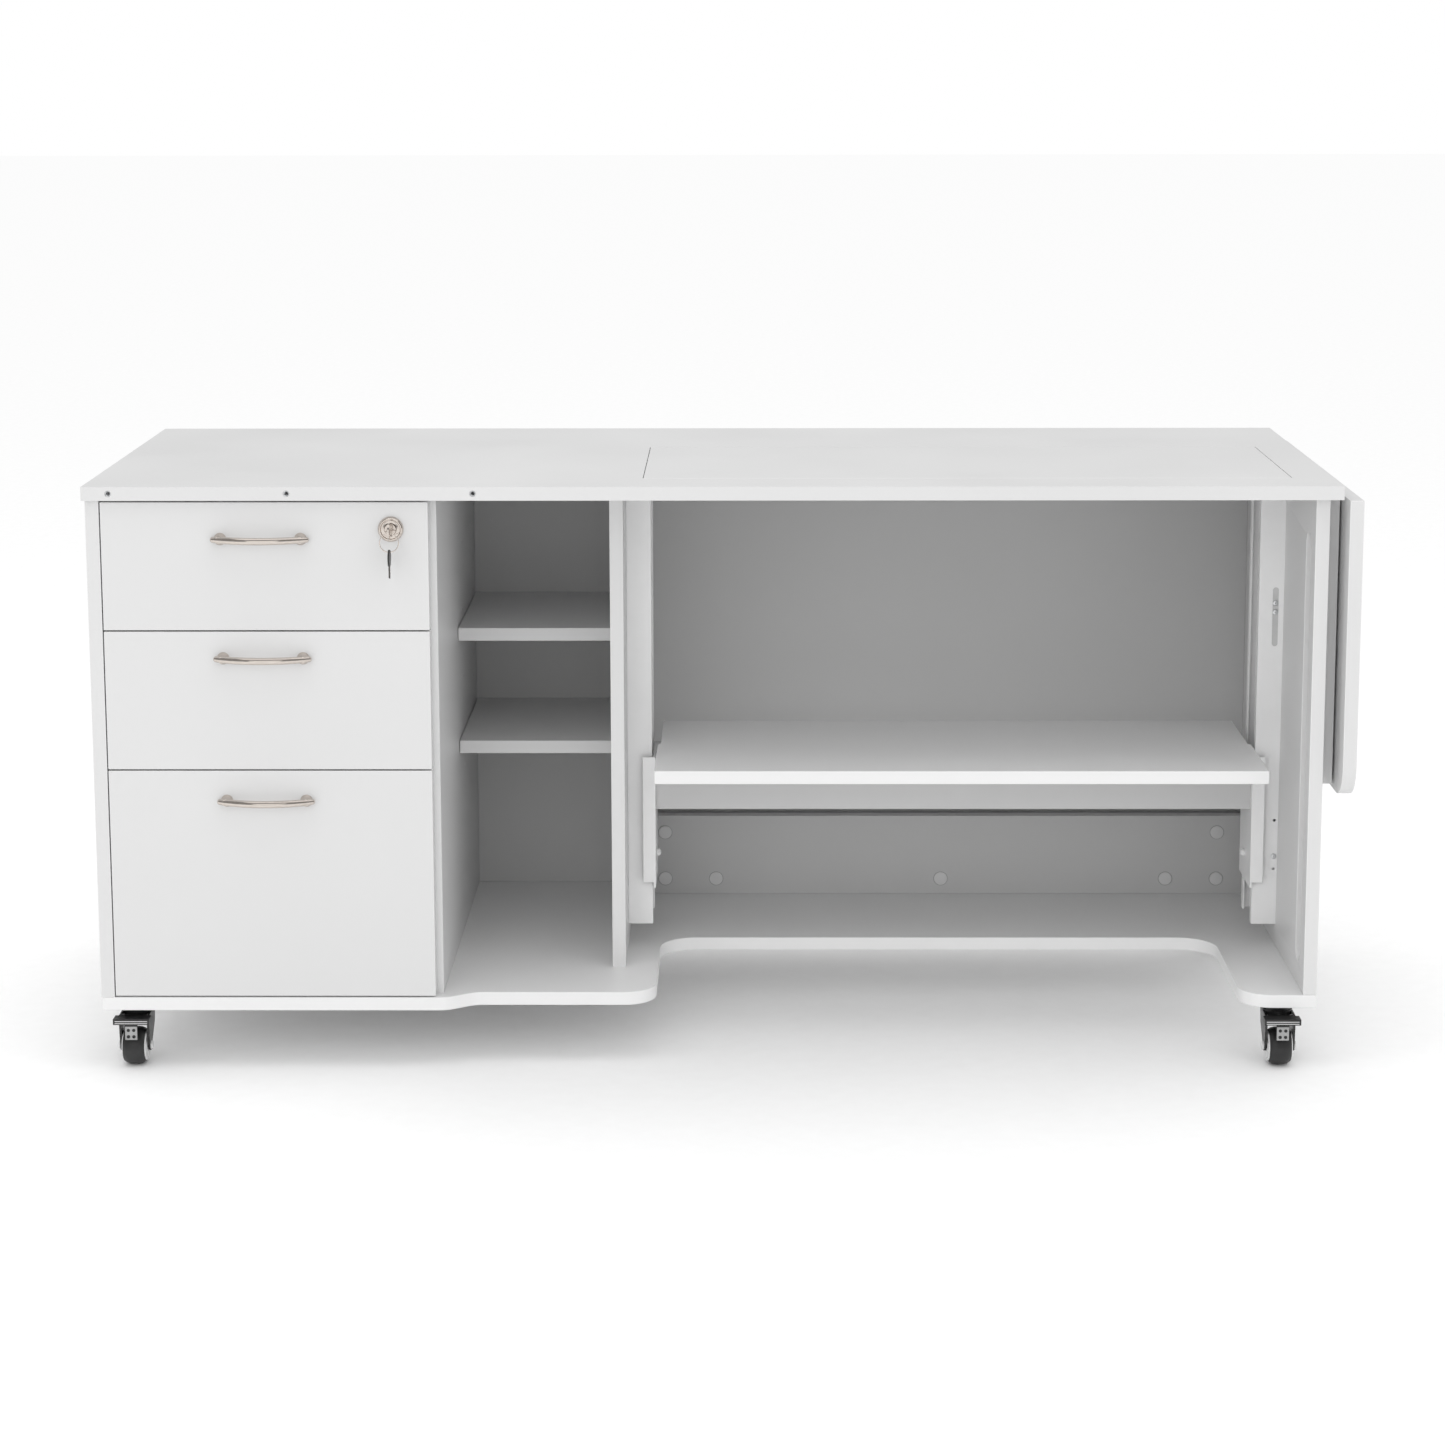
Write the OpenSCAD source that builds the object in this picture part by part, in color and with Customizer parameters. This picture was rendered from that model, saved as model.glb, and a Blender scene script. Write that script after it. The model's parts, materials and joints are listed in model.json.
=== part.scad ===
// Sewing table: a white board cabinet on casters, with three drawers, an open cubby,
// a lift for the machine under a flush lid, and a drop leaf on the right-hand end.
// Modules are drawn in cabinet coordinates: x from the worktop's left end, y from its
// front edge towards the back, z up from the floor. placed() moves them to the part's origin.

/* [Worktop] */
// Length of the worktop
top_w = 1625; // [1560:5:1950]
// Depth of the worktop, front to back
top_d = 600; // [560:5:760]
// Height of the working surface above the floor
top_h = 782; // [760:1:940]
// Thickness of the boards
board = 18; // [15:0.5:22]

/* [Lift opening] */
// Distance from the cubby divider to the lift opening
lift_left = 28; // [20:1:30]
// Distance from the right side panel to the lift opening
lift_right = 21; // [15:1:30]
// Distance from the front edge to the lift opening
lift_y = 75; // [60:1:110]
// Depth of the lift opening
lift_d = 315; // [300:1:330]
// Gap all round the lid
lid_gap = 2; // [1:0.5:3]

/* [Carcase] */
// Overhang of the worktop past the left side panel
left_overhang = 3; // [2:0.5:12]
// Overhang of the worktop past the right side panel
right_overhang = 14; // [12:0.5:20]
// Overhang of the worktop past the back
back_overhang = 6; // [2:0.5:20]
// Setback of the drawer fronts and the left side panel
front_setback = 8; // [6:0.5:20]
// Setback of the right side panel and its foot
right_setback = 20; // [12:1:40]
// Clear width between the pedestal's panels
pedestal_w = 416; // [380:1:450]
// Clear width of the open cubby
cubby_w = 219; // [190:1:230]
// Setback of the cubby's right-hand panel
cubby_divider_setback = 146; // [100:1:200]
// Thickness of the back panels
back_t = 12; // [6:1:16]
// Diameter of the shelf pins
pin_d = 5; // [4:0.5:6]
// Height of the lower shelf's top above the floor
lower_shelf_z = 381; // [330:1:440]
// Number of pin holes from the lower shelf up to the upper shelf
shelf_step = 5; // [3:1:7]
// Setback of the shelves' front edges
shelf_setback = 295; // [260:1:330]

/* [Base] */
// Setback of the base's edge in front of the cubby
cubby_base_setback = 32; // [28:1:60]
// Depth of the leg recess, from the worktop's front edge
recess_depth = 288; // [240:1:340]
// Radius of the base's outer corners beside the recess
foot_r = 42; // [20:1:48]
// Radius of the leg recess's inner corners
recess_r = 50; // [30:1:60]
// Height of the lower back rail
rail_board_h = 118; // [90:1:140]
// Distance from the lower back rail's front face to the worktop's front edge
rail_board_y = 517; // [480:1:540]

/* [Drawers] */
// Thickness of the drawer fronts
front_t = 18; // [15:0.5:22]
// Gap between neighbouring fronts
front_gap = 2; // [1.5:0.5:3]
// Height of the top drawer front
front_h1 = 168; // [150:1:180]
// Height of the middle drawer front
front_h2 = 183; // [160:1:200]
// Depth of the drawer boxes
box_d = 500; // [400:5:510]
// Wall thickness of the drawer boxes
box_t = 12; // [10:0.5:15]
// Thickness of the drawer bottoms
box_bottom_t = 6; // [4:0.5:8]
// Space for the runners on each side of a drawer box
runner_space = 12.5; // [12:0.1:13.5]
// Length of the bow handles between the centres of their feet
handle_span = 104; // [96:1:160]
// Reach of the bow handles from the drawer front
handle_reach = 26; // [20:0.5:34]

/* [Lock] */
// Diameter of the lock's rim
lock_rim_d = 33; // [26:0.5:36]
// Diameter of the lock's barrel
lock_barrel_d = 20; // [18:0.5:22]
// Running clearance on the radius of the lock's plug
plug_clear = 0.05; // [0.02:0.01:0.1]
// Length of the lock's cam from the axis to its tip
cam_len = 42; // [40:0.5:44]

/* [Lift] */
// Drop of the platform below the working surface in the stored position
lift_travel = 393; // [330:1:420]
// Width of the lift rails
lift_rail_w = 34; // [30:0.5:40]
// Depth of the lift rails, front to back
lift_rail_d = 90; // [70:1:110]
// Distance from the worktop's front edge to the lift rails
lift_rail_y = 250; // [235:1:270]
// Length of the lift rails
lift_rail_len = 634; // [600:1:650]
// Gap between each end of the platform and the rail beside it
platform_end_gap = 8; // [6:0.5:10]
// Length of the lift carriages below the platform
carriage_h = 187; // [160:1:200]
// Height of the crossbar under the platform
crossbar_h = 78; // [50:1:90]

/* [Leaf] */
// Length of the drop leaf
leaf_len = 395; // [300:1:420]
// Radius of the drop leaf's outer corners
leaf_r = 45; // [20:1:80]
// Gap between the worktop and the raised leaf
leaf_gap = 2; // [1:0.5:3]
// Diameter of the hinges' knuckles
knuckle_d = 6; // [5:0.5:7]
// Height of the leaf support board
support_h = 385; // [300:1:400]

/* [Casters] */
// Height of the casters
caster_h = 81; // [81:1:90]
// Diameter of the wheels
wheel_d = 50; // [45:1:50]
// Width of the wheels
wheel_w = 32; // [26:0.5:34]
// Running clearance on the radius of axles and swivel pins
pin_clear = 0.05; // [0.02:0.01:0.1]

/* [Hidden] */
$fn = 64;
WHITE = "whitesmoke";
GREY = "gainsboro";
NICKEL = "silver";
BLACK = "dimgray";
seam = 0.5;                                   // clearance between pieces that move past each other

// Carcase, left to right
left_x = left_overhang;
ped_x = left_x + board;
divider_x = ped_x + pedestal_w;
cubby_x = divider_x + board;
cubby_divider_x = cubby_x + cubby_w;
knee_x = cubby_divider_x + board;
right_x = top_w - right_overhang - board;
right_end = right_x + board;
knee_w = right_x - knee_x;
lift_x = knee_x + lift_left;
glue = 0.05;
lift_w = knee_w - lift_left - lift_right;

// Carcase, front to back and bottom to top
back_y = top_d - back_overhang;
inner_back_y = back_y - back_t;
box_front_y = front_setback + front_t;
divider_y = box_front_y + 1;
base_top = caster_h + board;
under_top = top_h - board;
panel_h = under_top - base_top;

// Pill-shaped groove in the right side panel
pill_w = 36;
pill_depth = 8;
pill_y = right_setback + 50;
pill_low_gap = 33;
pill_high_gap = 54;

// Threaded inserts in the worktop's front edge
insert_x = [35, 265, 505];
insert_d = 8;
insert_bore_d = 5;
insert_len = 13;
insert_mouth_d = 9;
insert_mouth = 0.8;

// Drawer fronts, from the top: heights and the levels of their lower edges
top_clear = 3;
fronts_h = under_top - top_clear - base_top - front_gap;
front_h = [front_h1, front_h2, fronts_h - front_h1 - front_h2 - 2 * front_gap];
front_z = [for (i = [0 : 2]) under_top - top_clear - front_total(i) - i * front_gap];
front_x = ped_x + 1.5;
front_w = divider_x + board / 2 - front_x;
box_lift = 20;
box_top_clear = [58, 46, 60];
box_x = ped_x + runner_space;
box_w = pedestal_w - 2 * runner_space;
box_h = [for (i = [0 : 2]) front_h[i] - box_lift - box_top_clear[i]];
runner_h = 42;
runner_len = 480;
runner_y = box_front_y + 4;
runner_outer_t = 6;
runner_tongue_h = 24;
runner_groove = 3;

// Bow handles
handle_d = 9.5;
handle_foot_d = 11;
handle_sag = 11;
handle_past = 9;
handle_x = (left_x + cubby_x) / 2;
handle_drop = [48, 35, 40];

// Lock, key and ring
lock_x = 398;
lock_drop = 35;
lock_z = under_top - top_clear - lock_drop;
rim_t = 5;
plug_d = 15;
plug_front_y = front_setback - rim_t - 1;
barrel_back_y = box_front_y + 2;
cam_t = 2.5;
cam_w = 12;
strike_depth = 8;
strike_left = 28;
strike_right = 12;
strike_w = 12;
key_t = 2.4;
blade_h = 6.4;
bow_d = 22;
bow_y = plug_front_y - 4 - bow_d / 2;
bow_hole_d = 9;
ring_y = bow_y - 1;
ring_r = 11;
ring_wire_d = 1.6;
ring_drop = 6.95;
strip_z = (bow_d / 2 + bow_hole_d / 2) / 2;
spare_len = 37;

// Shelves and their pins
shelf_d = inner_back_y - 2 - shelf_setback;
shelf_clear = 1;
pin_len = 16;
pin_sink = 8;
pin_rows = 12;
pin_pitch = 32;
pin_y = [shelf_setback + 80, inner_back_y - 45];
upper_shelf_z = lower_shelf_z + shelf_step * pin_pitch;
shelf_z = [lower_shelf_z, upper_shelf_z];
pin_first = shelf_z[0] - board - pin_d / 2 - 2 * pin_pitch;

// Cover caps on the lower back rail
cap_d = 21;
cap_t = 1.5;
cap_edge = 44;
cap_low = 23;
cap_high = 93;

// Lift
rail_t = 2.5;
rail_lip = 10;
rail_x = [knee_x, right_x];
rail_inner_w = knee_w - 2 * lift_rail_w;
platform_w = rail_inner_w - 2 * platform_end_gap;
platform_x = knee_x + lift_rail_w + platform_end_gap;
platform_y = lift_y + 3;
platform_d = lift_d - 5;
platform_top = top_h - lift_travel;
platform_z = platform_top - board;
platform_notch = [4, 12];
carriage_t = 3;
carriage_gap = 1.5;
carriage_flange = 17.5;
carriage_step = 8;
bracket_w = 40;
crossbar_y = lift_rail_y + 4;
glide_h = 60;
glide_zs = [platform_z - 20 - glide_h, platform_z - 120 - glide_h];
neck_clear = 1.5;
knob_d = 11;
knob_t = 6;
slot_w = 8;
slot_depth = 1;
slot_drop = [162, 236];
rail_screw_d = 8;
rail_screw_t = 2;
slot_screw_drop = [180, 192.5];
low_screw_drop = 537;
rail_hole_d = 4;
rail_hole_drop = [486, 555];
rail_hole_inset = 5;

// Leaf, its hinges and its support
knuckle_gap = 0.4;
hinge_drop = knuckle_d / 2 + knuckle_gap;
hinge_x = top_w + knuckle_d / 2 + 1.6;
hinge_z = under_top - hinge_drop;
leaf_face_x = hinge_x + hinge_drop;
leaf_end_z = hinge_z + hinge_x - top_w - leaf_gap;
hinge_ys = [150, 300, 450];
hinge_len = 60;
hinge_t = 1.6;
hinge_flap = 28;
hinge_pin_d = 2.6;
support_y = 60;
support_len = 200;
support_gap = 1.2;
support_clear = 0.8;
support_t = leaf_face_x - hinge_t - support_clear - right_end - support_gap;
support_top_gap = 3;
support_notch = 10;
support_hinge_h = 50;
support_hinge_d = 5;

// Casters: place of each swivel axis, wheel offset in front of it
caster_inset = [39, 46];
caster_y = [front_setback + 47, back_y - 49];
caster_x = [left_x + caster_inset[0], right_end - caster_inset[1]];
caster_at = [for (y = caster_y) for (x = caster_x) [x, y]];
trail = 20;
plate_w = 50;
plate_t = 2.5;
race_d = 38;
race_t = 6;
swivel_pin_d = 10;
fork_t = 3;
fork_gap = 1;
axle_d = 8;
fork_top = caster_h - plate_t - race_t - seam;
fork_drop = 4;
leg_in = wheel_w / 2 + fork_gap;
leg_out = leg_in + fork_t;
rivet_t = 3;
hood_w = 48;
hood_t = 8;
shoe_w = 17;
shoe_t = 2.5;
shoe_h = 20;
pedal_pin_d = 5;
pedal_at = [-trail - 7, fork_top - 8];
pedal_reach = wheel_d / 2 - 1;

// Origin: bottom centre of the whole table with its leaf hanging
front_reach = max(handle_reach - front_setback, bow_d / 2 - ring_y);
origin_x = (leaf_face_x + board) / 2;
origin_y = (top_d - front_reach) / 2;

function front_total(i) = i < 0 ? 0 : front_h[i] + front_total(i - 1);
function arc(c, r, a, b, n = 10) = [for (i = [0 : n]) c + r * [cos(a + (b - a) * i / n), sin(a + (b - a) * i / n)]];
// A smooth step from point p to point q, level at both ends
function s_step(p, q, n = 12) =
    [for (i = [0 : n]) [p[0] + (q[0] - p[0]) * i / n, p[1] + (q[1] - p[1]) * (1 - cos(180 * i / n)) / 2]];

module placed() {
    translate([-origin_x, -origin_y, 0]) children();
}
// A box from its lowest corner, in cabinet coordinates
module slab(x, y, z, w, d, h) {
    translate([x, y, z]) cube([w, d, h]);
}
// Round bars along x, y and z, starting at a point
module bar_x(p, d, l) {
    translate(p) rotate([0, 90, 0]) cylinder(d = d, h = l);
}
module bar_y(p, d, l) {
    translate(p) rotate([-90, 0, 0]) cylinder(d = d, h = l);
}
module bar_z(p, d, l) {
    translate(p) cylinder(d = d, h = l);
}

// ---- Worktop and lid ----
// Four boards round the lift opening, with hairline glue lines; the left one carries the edge inserts
module worktop() {
    lift_back = lift_y + lift_d;
    lift_end = lift_x + lift_w;
    color(WHITE) placed() difference() {
        slab(0, 0, under_top, lift_x, top_d, board);
        for (x = insert_x) {
            bar_y([x, -1, top_h - board / 2], insert_d, insert_mouth + insert_len + 1);
            bar_y([x, -1, top_h - board / 2], insert_mouth_d, insert_mouth + 1);
        }
        slab(lock_x - strike_left, box_front_y - 2, under_top - 1, strike_left + strike_right, strike_w,
            strike_depth + 1);
    }
    color(WHITE) placed() {
        slab(lift_x + glue, 0, under_top, top_w - lift_x - glue, lift_y - glue, board);
        slab(lift_x + glue, lift_back + glue, under_top, top_w - lift_x - glue, top_d - lift_back - glue, board);
        slab(lift_end, lift_y, under_top, top_w - lift_end, lift_d, board);
    }
}
module edge_inserts() {
    color(NICKEL) placed() for (x = insert_x) difference() {
        bar_y([x, insert_mouth, top_h - board / 2], insert_d, insert_len);
        bar_y([x, 0, top_h - board / 2], insert_bore_d, insert_len + 2);
    }
}
module lift_lid() {
    color(WHITE) placed() slab(lift_x + lid_gap, lift_y + lid_gap, under_top,
        lift_w - 2 * lid_gap, lift_d - 2 * lid_gap, board);
}

// ---- Base and upright panels ----
function base_outline() = concat(
    [[left_x, back_y]],
    arc([left_x + 6, front_setback + 6], 6, 180, 270, 4),
    s_step([divider_x + board - 3, front_setback], [cubby_x + 50, cubby_base_setback]),
    arc([recess_x() - foot_r, cubby_base_setback + foot_r], foot_r, -90, 0),
    arc([recess_x() + recess_r, recess_depth - recess_r], recess_r, 180, 90),
    arc([recess_end() - recess_r, recess_depth - recess_r], recess_r, 90, 0),
    arc([recess_end() + foot_r, right_setback + foot_r], foot_r, 180, 270),
    [[right_end, right_setback], [right_end, back_y]]
);
function recess_x() = knee_x + 44;
function recess_end() = right_x - 81;

module base_board() {
    color(WHITE) placed() translate([0, 0, caster_h]) linear_extrude(board) polygon(base_outline());
}
module left_side_panel() {
    color(WHITE) placed() slab(left_x, front_setback, base_top, board, back_y - front_setback, panel_h);
}
// Two columns of shelf-pin holes, drilled into one face of a panel
module pin_holes(x) {
    for (y = pin_y) for (i = [0 : pin_rows - 1])
        bar_x([x, y, pin_first + i * pin_pitch], pin_d, pin_sink + 1);
}
module pedestal_divider() {
    color(WHITE) placed() difference() {
        slab(divider_x, divider_y, base_top, board, back_y - divider_y, panel_h);
        pin_holes(cubby_x - pin_sink);
    }
}
module cubby_divider() {
    color(WHITE) placed() difference() {
        slab(cubby_divider_x, cubby_divider_setback, base_top, board, back_y - cubby_divider_setback, panel_h);
        pin_holes(cubby_divider_x - 1);
    }
}
module right_side_panel() {
    pill_z = base_top + pill_low_gap;
    pill_top = under_top - pill_high_gap;
    color(WHITE) placed() difference() {
        slab(right_x, right_setback, base_top, board, back_y - right_setback, panel_h);
        slab(right_x - 1, pill_y - pill_w / 2, pill_z + pill_w / 2, pill_depth + 1, pill_w,
            pill_top - pill_z - pill_w);
        for (z = [pill_z + pill_w / 2, pill_top - pill_w / 2])
            bar_x([right_x - 1, pill_y, z], pill_w, pill_depth + 1);
    }
}
module left_back_panel() {
    color(GREY) placed() slab(ped_x, inner_back_y, base_top, pedestal_w, back_t, panel_h);
    color(GREY) placed() slab(cubby_x, inner_back_y, base_top, cubby_w, back_t, panel_h);
}
module kneehole_back_panel() {
    color(GREY) placed() slab(knee_x, inner_back_y, base_top, knee_w, back_t, panel_h);
}
module lower_back_rail() {
    color(GREY) placed() slab(knee_x, rail_board_y, base_top, knee_w, board, rail_board_h);
}
module cover_caps() {
    mid = knee_x + knee_w / 2;
    ends = [knee_x + cap_edge, right_x - cap_edge];
    inner = [ends[0] + 75, mid, ends[1] - 75];
    color(GREY) placed() {
        for (x = concat(ends, inner))
            bar_y([x, rail_board_y - cap_t, base_top + cap_low], cap_d, cap_t);
        for (x = ends)
            bar_y([x, rail_board_y - cap_t, base_top + cap_high], cap_d, cap_t);
    }
}

// ---- Cubby shelves ----
module shelf(z) {
    slab(cubby_x + shelf_clear, shelf_setback, z - board, cubby_w - 2 * shelf_clear, shelf_d, board);
}
module upper_shelf() {
    color(WHITE) placed() shelf(upper_shelf_z);
}
module lower_shelf() {
    color(WHITE) placed() shelf(lower_shelf_z);
}
module shelf_pins() {
    color(NICKEL) placed() for (z = shelf_z) for (y = pin_y)
        for (x = [cubby_x - pin_sink, cubby_divider_x + pin_sink - pin_len])
            bar_x([x, y, z - board - pin_d / 2], pin_d, pin_len);
}

// ---- Lift ----
// side 0 is the left rail, side 1 its mirror image on the right side panel
module lift_side(side) {
    if (side == 0) translate([knee_x, 0, 0]) children();
    if (side == 1) translate([right_x, 0, 0]) mirror([1, 0, 0]) children();
}
module rail_channel() {
    top = under_top;
    low = top - lift_rail_len;
    translate([0, lift_rail_y, low]) difference() {
        cube([lift_rail_w, lift_rail_d, lift_rail_len]);
        translate([rail_t, rail_t, -1])
            cube([lift_rail_w - 2 * rail_t, lift_rail_d - 2 * rail_t, lift_rail_len + 2]);
        translate([rail_t, rail_t + rail_lip, -1])
            cube([lift_rail_w, lift_rail_d - 2 * (rail_t + rail_lip), lift_rail_len + 2]);
    }
}
module lift_rail_left() {
    color(WHITE) placed() lift_side(0) rail_channel();
}
module lift_rail_right() {
    color(WHITE) placed() lift_side(1) difference() {
        rail_channel();
        slab(slot_x() - slot_w / 2, lift_rail_y - 1, under_top - slot_drop[1], slot_w, slot_depth + 1,
            slot_drop[1] - slot_drop[0]);
        for (z = slot_drop) bar_y([slot_x(), lift_rail_y - 1, under_top - z], slot_w, slot_depth + 1);
        for (z = rail_hole_drop)
            bar_y([rail_hole_inset, lift_rail_y - 1, under_top - z], rail_hole_d, rail_t + 2);
    }
}
function slot_x() = lift_rail_w / 2 - 6;

// Two screw heads in the pressed slot of the right rail, and one lower down
module rail_screws() {
    color(NICKEL) placed() lift_side(1) {
        for (z = slot_screw_drop)
            bar_y([slot_x(), lift_rail_y + slot_depth - rail_screw_t, under_top - z], rail_screw_d, rail_screw_t);
        bar_y([rail_hole_inset, lift_rail_y - rail_screw_t, under_top - low_screw_drop], rail_screw_d, rail_screw_t);
    }
}
module lift_platform() {
    color(WHITE) placed() difference() {
        slab(platform_x, platform_y, platform_z, platform_w, platform_d, board);
        for (x = [platform_x - 1, platform_x + platform_w - platform_notch[0]])
            slab(x, lift_rail_y - platform_notch[1], platform_z - 1, platform_notch[0] + 1, top_d, board + 2);
    }
}
module lift_crossbar() {
    color(GREY) placed() slab(carriage_face(0), crossbar_y, platform_z - crossbar_h,
        rail_inner_w - 2 * (carriage_gap + carriage_t), board, crossbar_h);
}
function carriage_face(x) = knee_x + lift_rail_w + carriage_gap + carriage_t + x;

// Sheet-metal carriage: a plate beside the rail, a flange in front of it, a bracket under the platform
module carriage() {
    plate_x = lift_rail_w + carriage_gap;
    plate_y = lift_rail_y - 7 - carriage_t;
    plate_l = lift_rail_d + 7;
    low = platform_z - carriage_h;
    translate([plate_x, plate_y, low]) cube([carriage_t, plate_l, carriage_h - 1]);
    translate([plate_x + carriage_t - carriage_flange, plate_y, low + carriage_step])
        cube([carriage_flange, carriage_t, carriage_h - carriage_step - 1]);
    translate([plate_x, crossbar_y + board + 2, platform_z - carriage_t])
        cube([bracket_w, plate_y + plate_l - crossbar_y - board - 2, carriage_t]);
}
module lift_carriages() {
    color(WHITE) placed() for (side = [0, 1]) lift_side(side) carriage();
}
// Nylon blocks that slide inside the rails, each with a neck out through the slot
module glide(z) {
    body_x = rail_t + 1;
    body_w = lift_rail_w - 2 * rail_t - 2;
    neck_y = lift_rail_y + rail_t + rail_lip + neck_clear;
    neck_d = lift_rail_d - 2 * (rail_t + rail_lip + neck_clear);
    translate([body_x, lift_rail_y + rail_t + 1, z]) cube([body_w, lift_rail_d - 2 * rail_t - 2, glide_h]);
    translate([body_x, neck_y, z]) cube([lift_rail_w + carriage_gap - body_x, neck_d, glide_h]);
}
module glide_blocks() {
    color(WHITE) placed() for (side = [0, 1]) lift_side(side) for (z = glide_zs) glide(z);
}
module carriage_bolts() {
    color(WHITE) placed() for (side = [0, 1]) lift_side(side) for (z = glide_zs)
        bar_x([lift_rail_w + carriage_gap + carriage_t, lift_rail_y + lift_rail_d / 2, z + glide_h / 2],
            knob_d, knob_t);
}

// ---- Drawers ----
module drawer_front(i) {
    difference() {
        slab(front_x, front_setback, front_z[i], front_w, front_t, front_h[i]);
        if (i == 0) bar_y([lock_x, front_setback - 1, lock_z], lock_barrel_d, front_t + 2);
    }
}
// Two sides, a front and a back between them, and a bottom between all four
module drawer_box(i) {
    z = front_z[i] + box_lift;
    inner_w = box_w - 2 * box_t;
    for (x = [box_x, box_x + box_w - box_t]) slab(x, box_front_y, z, box_t, box_d, box_h[i]);
    for (y = [box_front_y, box_front_y + box_d - box_t])
        slab(box_x + box_t, y, z, inner_w, box_t, box_h[i]);
    slab(box_x + box_t, box_front_y + box_t, z + 8, inner_w, box_d - 2 * box_t, box_bottom_t);
}
function handle_z(i) = front_z[i] + front_h[i] - handle_drop[i];

// A bow: one round bar bent to an arc with rounded ends, on two short feet
module drawer_handle(i) {
    half = handle_span / 2;
    bow_r = (half * half + handle_sag * handle_sag) / (2 * handle_sag);
    sweep = asin(half / bow_r) + handle_past / bow_r * 180 / PI;
    bar_y0 = front_setback - handle_reach + handle_d / 2;
    translate([handle_x, bar_y0 + bow_r, handle_z(i)]) {
        rotate([0, 0, 270 - sweep]) rotate_extrude(angle = 2 * sweep, $fn = 96)
            translate([bow_r, 0]) circle(d = handle_d, $fn = 24);
        for (a = [270 - sweep, 270 + sweep])
            translate([bow_r * cos(a), bow_r * sin(a), 0]) sphere(d = handle_d, $fn = 24);
    }
    for (s = [-1, 1])
        bar_y([handle_x + s * half, bar_y0 + handle_sag, handle_z(i)], handle_foot_d,
            front_setback - bar_y0 - handle_sag);
}
function runner_z(i) = front_z[i] + box_lift + 2;

module outer_runner(x, side, i) {
    groove_x = side == 0 ? x + runner_outer_t - runner_groove : x - 1;
    difference() {
        slab(x, runner_y, runner_z(i), runner_outer_t, runner_len, runner_h);
        slab(groove_x, runner_y - 1, runner_z(i) + (runner_h - runner_tongue_h) / 2 - seam,
            runner_groove + 1, runner_len + 2, runner_tongue_h + 2 * seam);
    }
}
module cabinet_runners() {
    color(NICKEL) placed() for (i = [0 : 2]) {
        outer_runner(ped_x, 0, i);
        outer_runner(divider_x - runner_outer_t, 1, i);
    }
}
module drawer_runners(i) {
    tongue_w = runner_space - runner_outer_t + runner_groove - seam;
    for (x = [box_x - tongue_w, box_x + box_w])
        slab(x, runner_y, runner_z(i) + (runner_h - runner_tongue_h) / 2, tongue_w, runner_len, runner_tongue_h);
}

// ---- Lock, key and ring ----
module lock_housing() {
    color(NICKEL) placed() difference() {
        union() {
            bar_y([lock_x, front_setback - rim_t, lock_z], lock_rim_d, rim_t);
            bar_y([lock_x, front_setback, lock_z], lock_barrel_d, barrel_back_y - front_setback);
        }
        bar_y([lock_x, 0, lock_z], plug_d + 2 * plug_clear, barrel_back_y + 1);
    }
}
module lock_plug() {
    color(NICKEL) placed() difference() {
        bar_y([lock_x, plug_front_y, lock_z], plug_d, barrel_back_y - plug_front_y + seam);
        slab(lock_x - key_t / 2, plug_front_y - 1, lock_z - blade_h / 2, key_t, blade_len() + 1, blade_h);
    }
}
function blade_len() = 18;

module lock_cam() {
    color(NICKEL) placed() {
        slab(lock_x - cam_len, barrel_back_y + seam, lock_z - cam_w / 2, cam_len, cam_t, cam_w);
        bar_y([lock_x, barrel_back_y + seam, lock_z], cam_w, cam_t);
    }
}
// A key lying in the y-z plane: round bow with a hole, neck and blade
module key() {
    color(NICKEL) placed() translate([lock_x - key_t / 2, 0, lock_z]) difference() {
        union() {
            bar_x([0, bow_y, 0], bow_d, key_t);
            translate([0, bow_y, -5]) cube([key_t, plug_front_y - bow_y, 10]);
            translate([0, plug_front_y - 1, -blade_h / 2]) cube([key_t, blade_len() + 1, blade_h]);
        }
        bar_x([-1, ring_y, 0], bow_hole_d, key_t + 2);
    }
}
module key_ring() {
    color(NICKEL) placed() translate([lock_x, ring_y, lock_z - strip_z - ring_drop])
        rotate([90, 0, 0]) rotate_extrude($fn = 72) translate([ring_r + ring_wire_d / 2, 0])
            circle(d = ring_wire_d, $fn = 16);
}
module spare_key() {
    hole_z = lock_z - strip_z - ring_drop - ring_r - ring_wire_d / 2 - 0.6;
    color(BLACK) placed() translate([lock_x - key_t / 2, ring_y, hole_z]) difference() {
        union() {
            bar_x([0, 0, -bow_d / 2 + 3.5], bow_d, key_t);
            translate([0, -4, -spare_len + 3]) cube([key_t, 8, spare_len - bow_d / 2]);
        }
        bar_x([-1, 0, 0], 3, key_t + 2);
    }
}

// ---- Drop leaf, hinges and support ----
module side_leaf() {
    low = leaf_end_z - leaf_len;
    color(WHITE) placed() translate([leaf_face_x, 0, low]) difference() {
        cube([board, top_d, leaf_len]);
        for (y = [0, top_d]) translate([-1, y, 0]) rotate([90, 0, 90]) linear_extrude(board + 2)
            difference() {
                translate([y == 0 ? -1 : -leaf_r, -1]) square([leaf_r + 1, leaf_r + 1]);
                translate([y == 0 ? leaf_r : -leaf_r, leaf_r]) circle(r = leaf_r);
            }
    }
}
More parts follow.
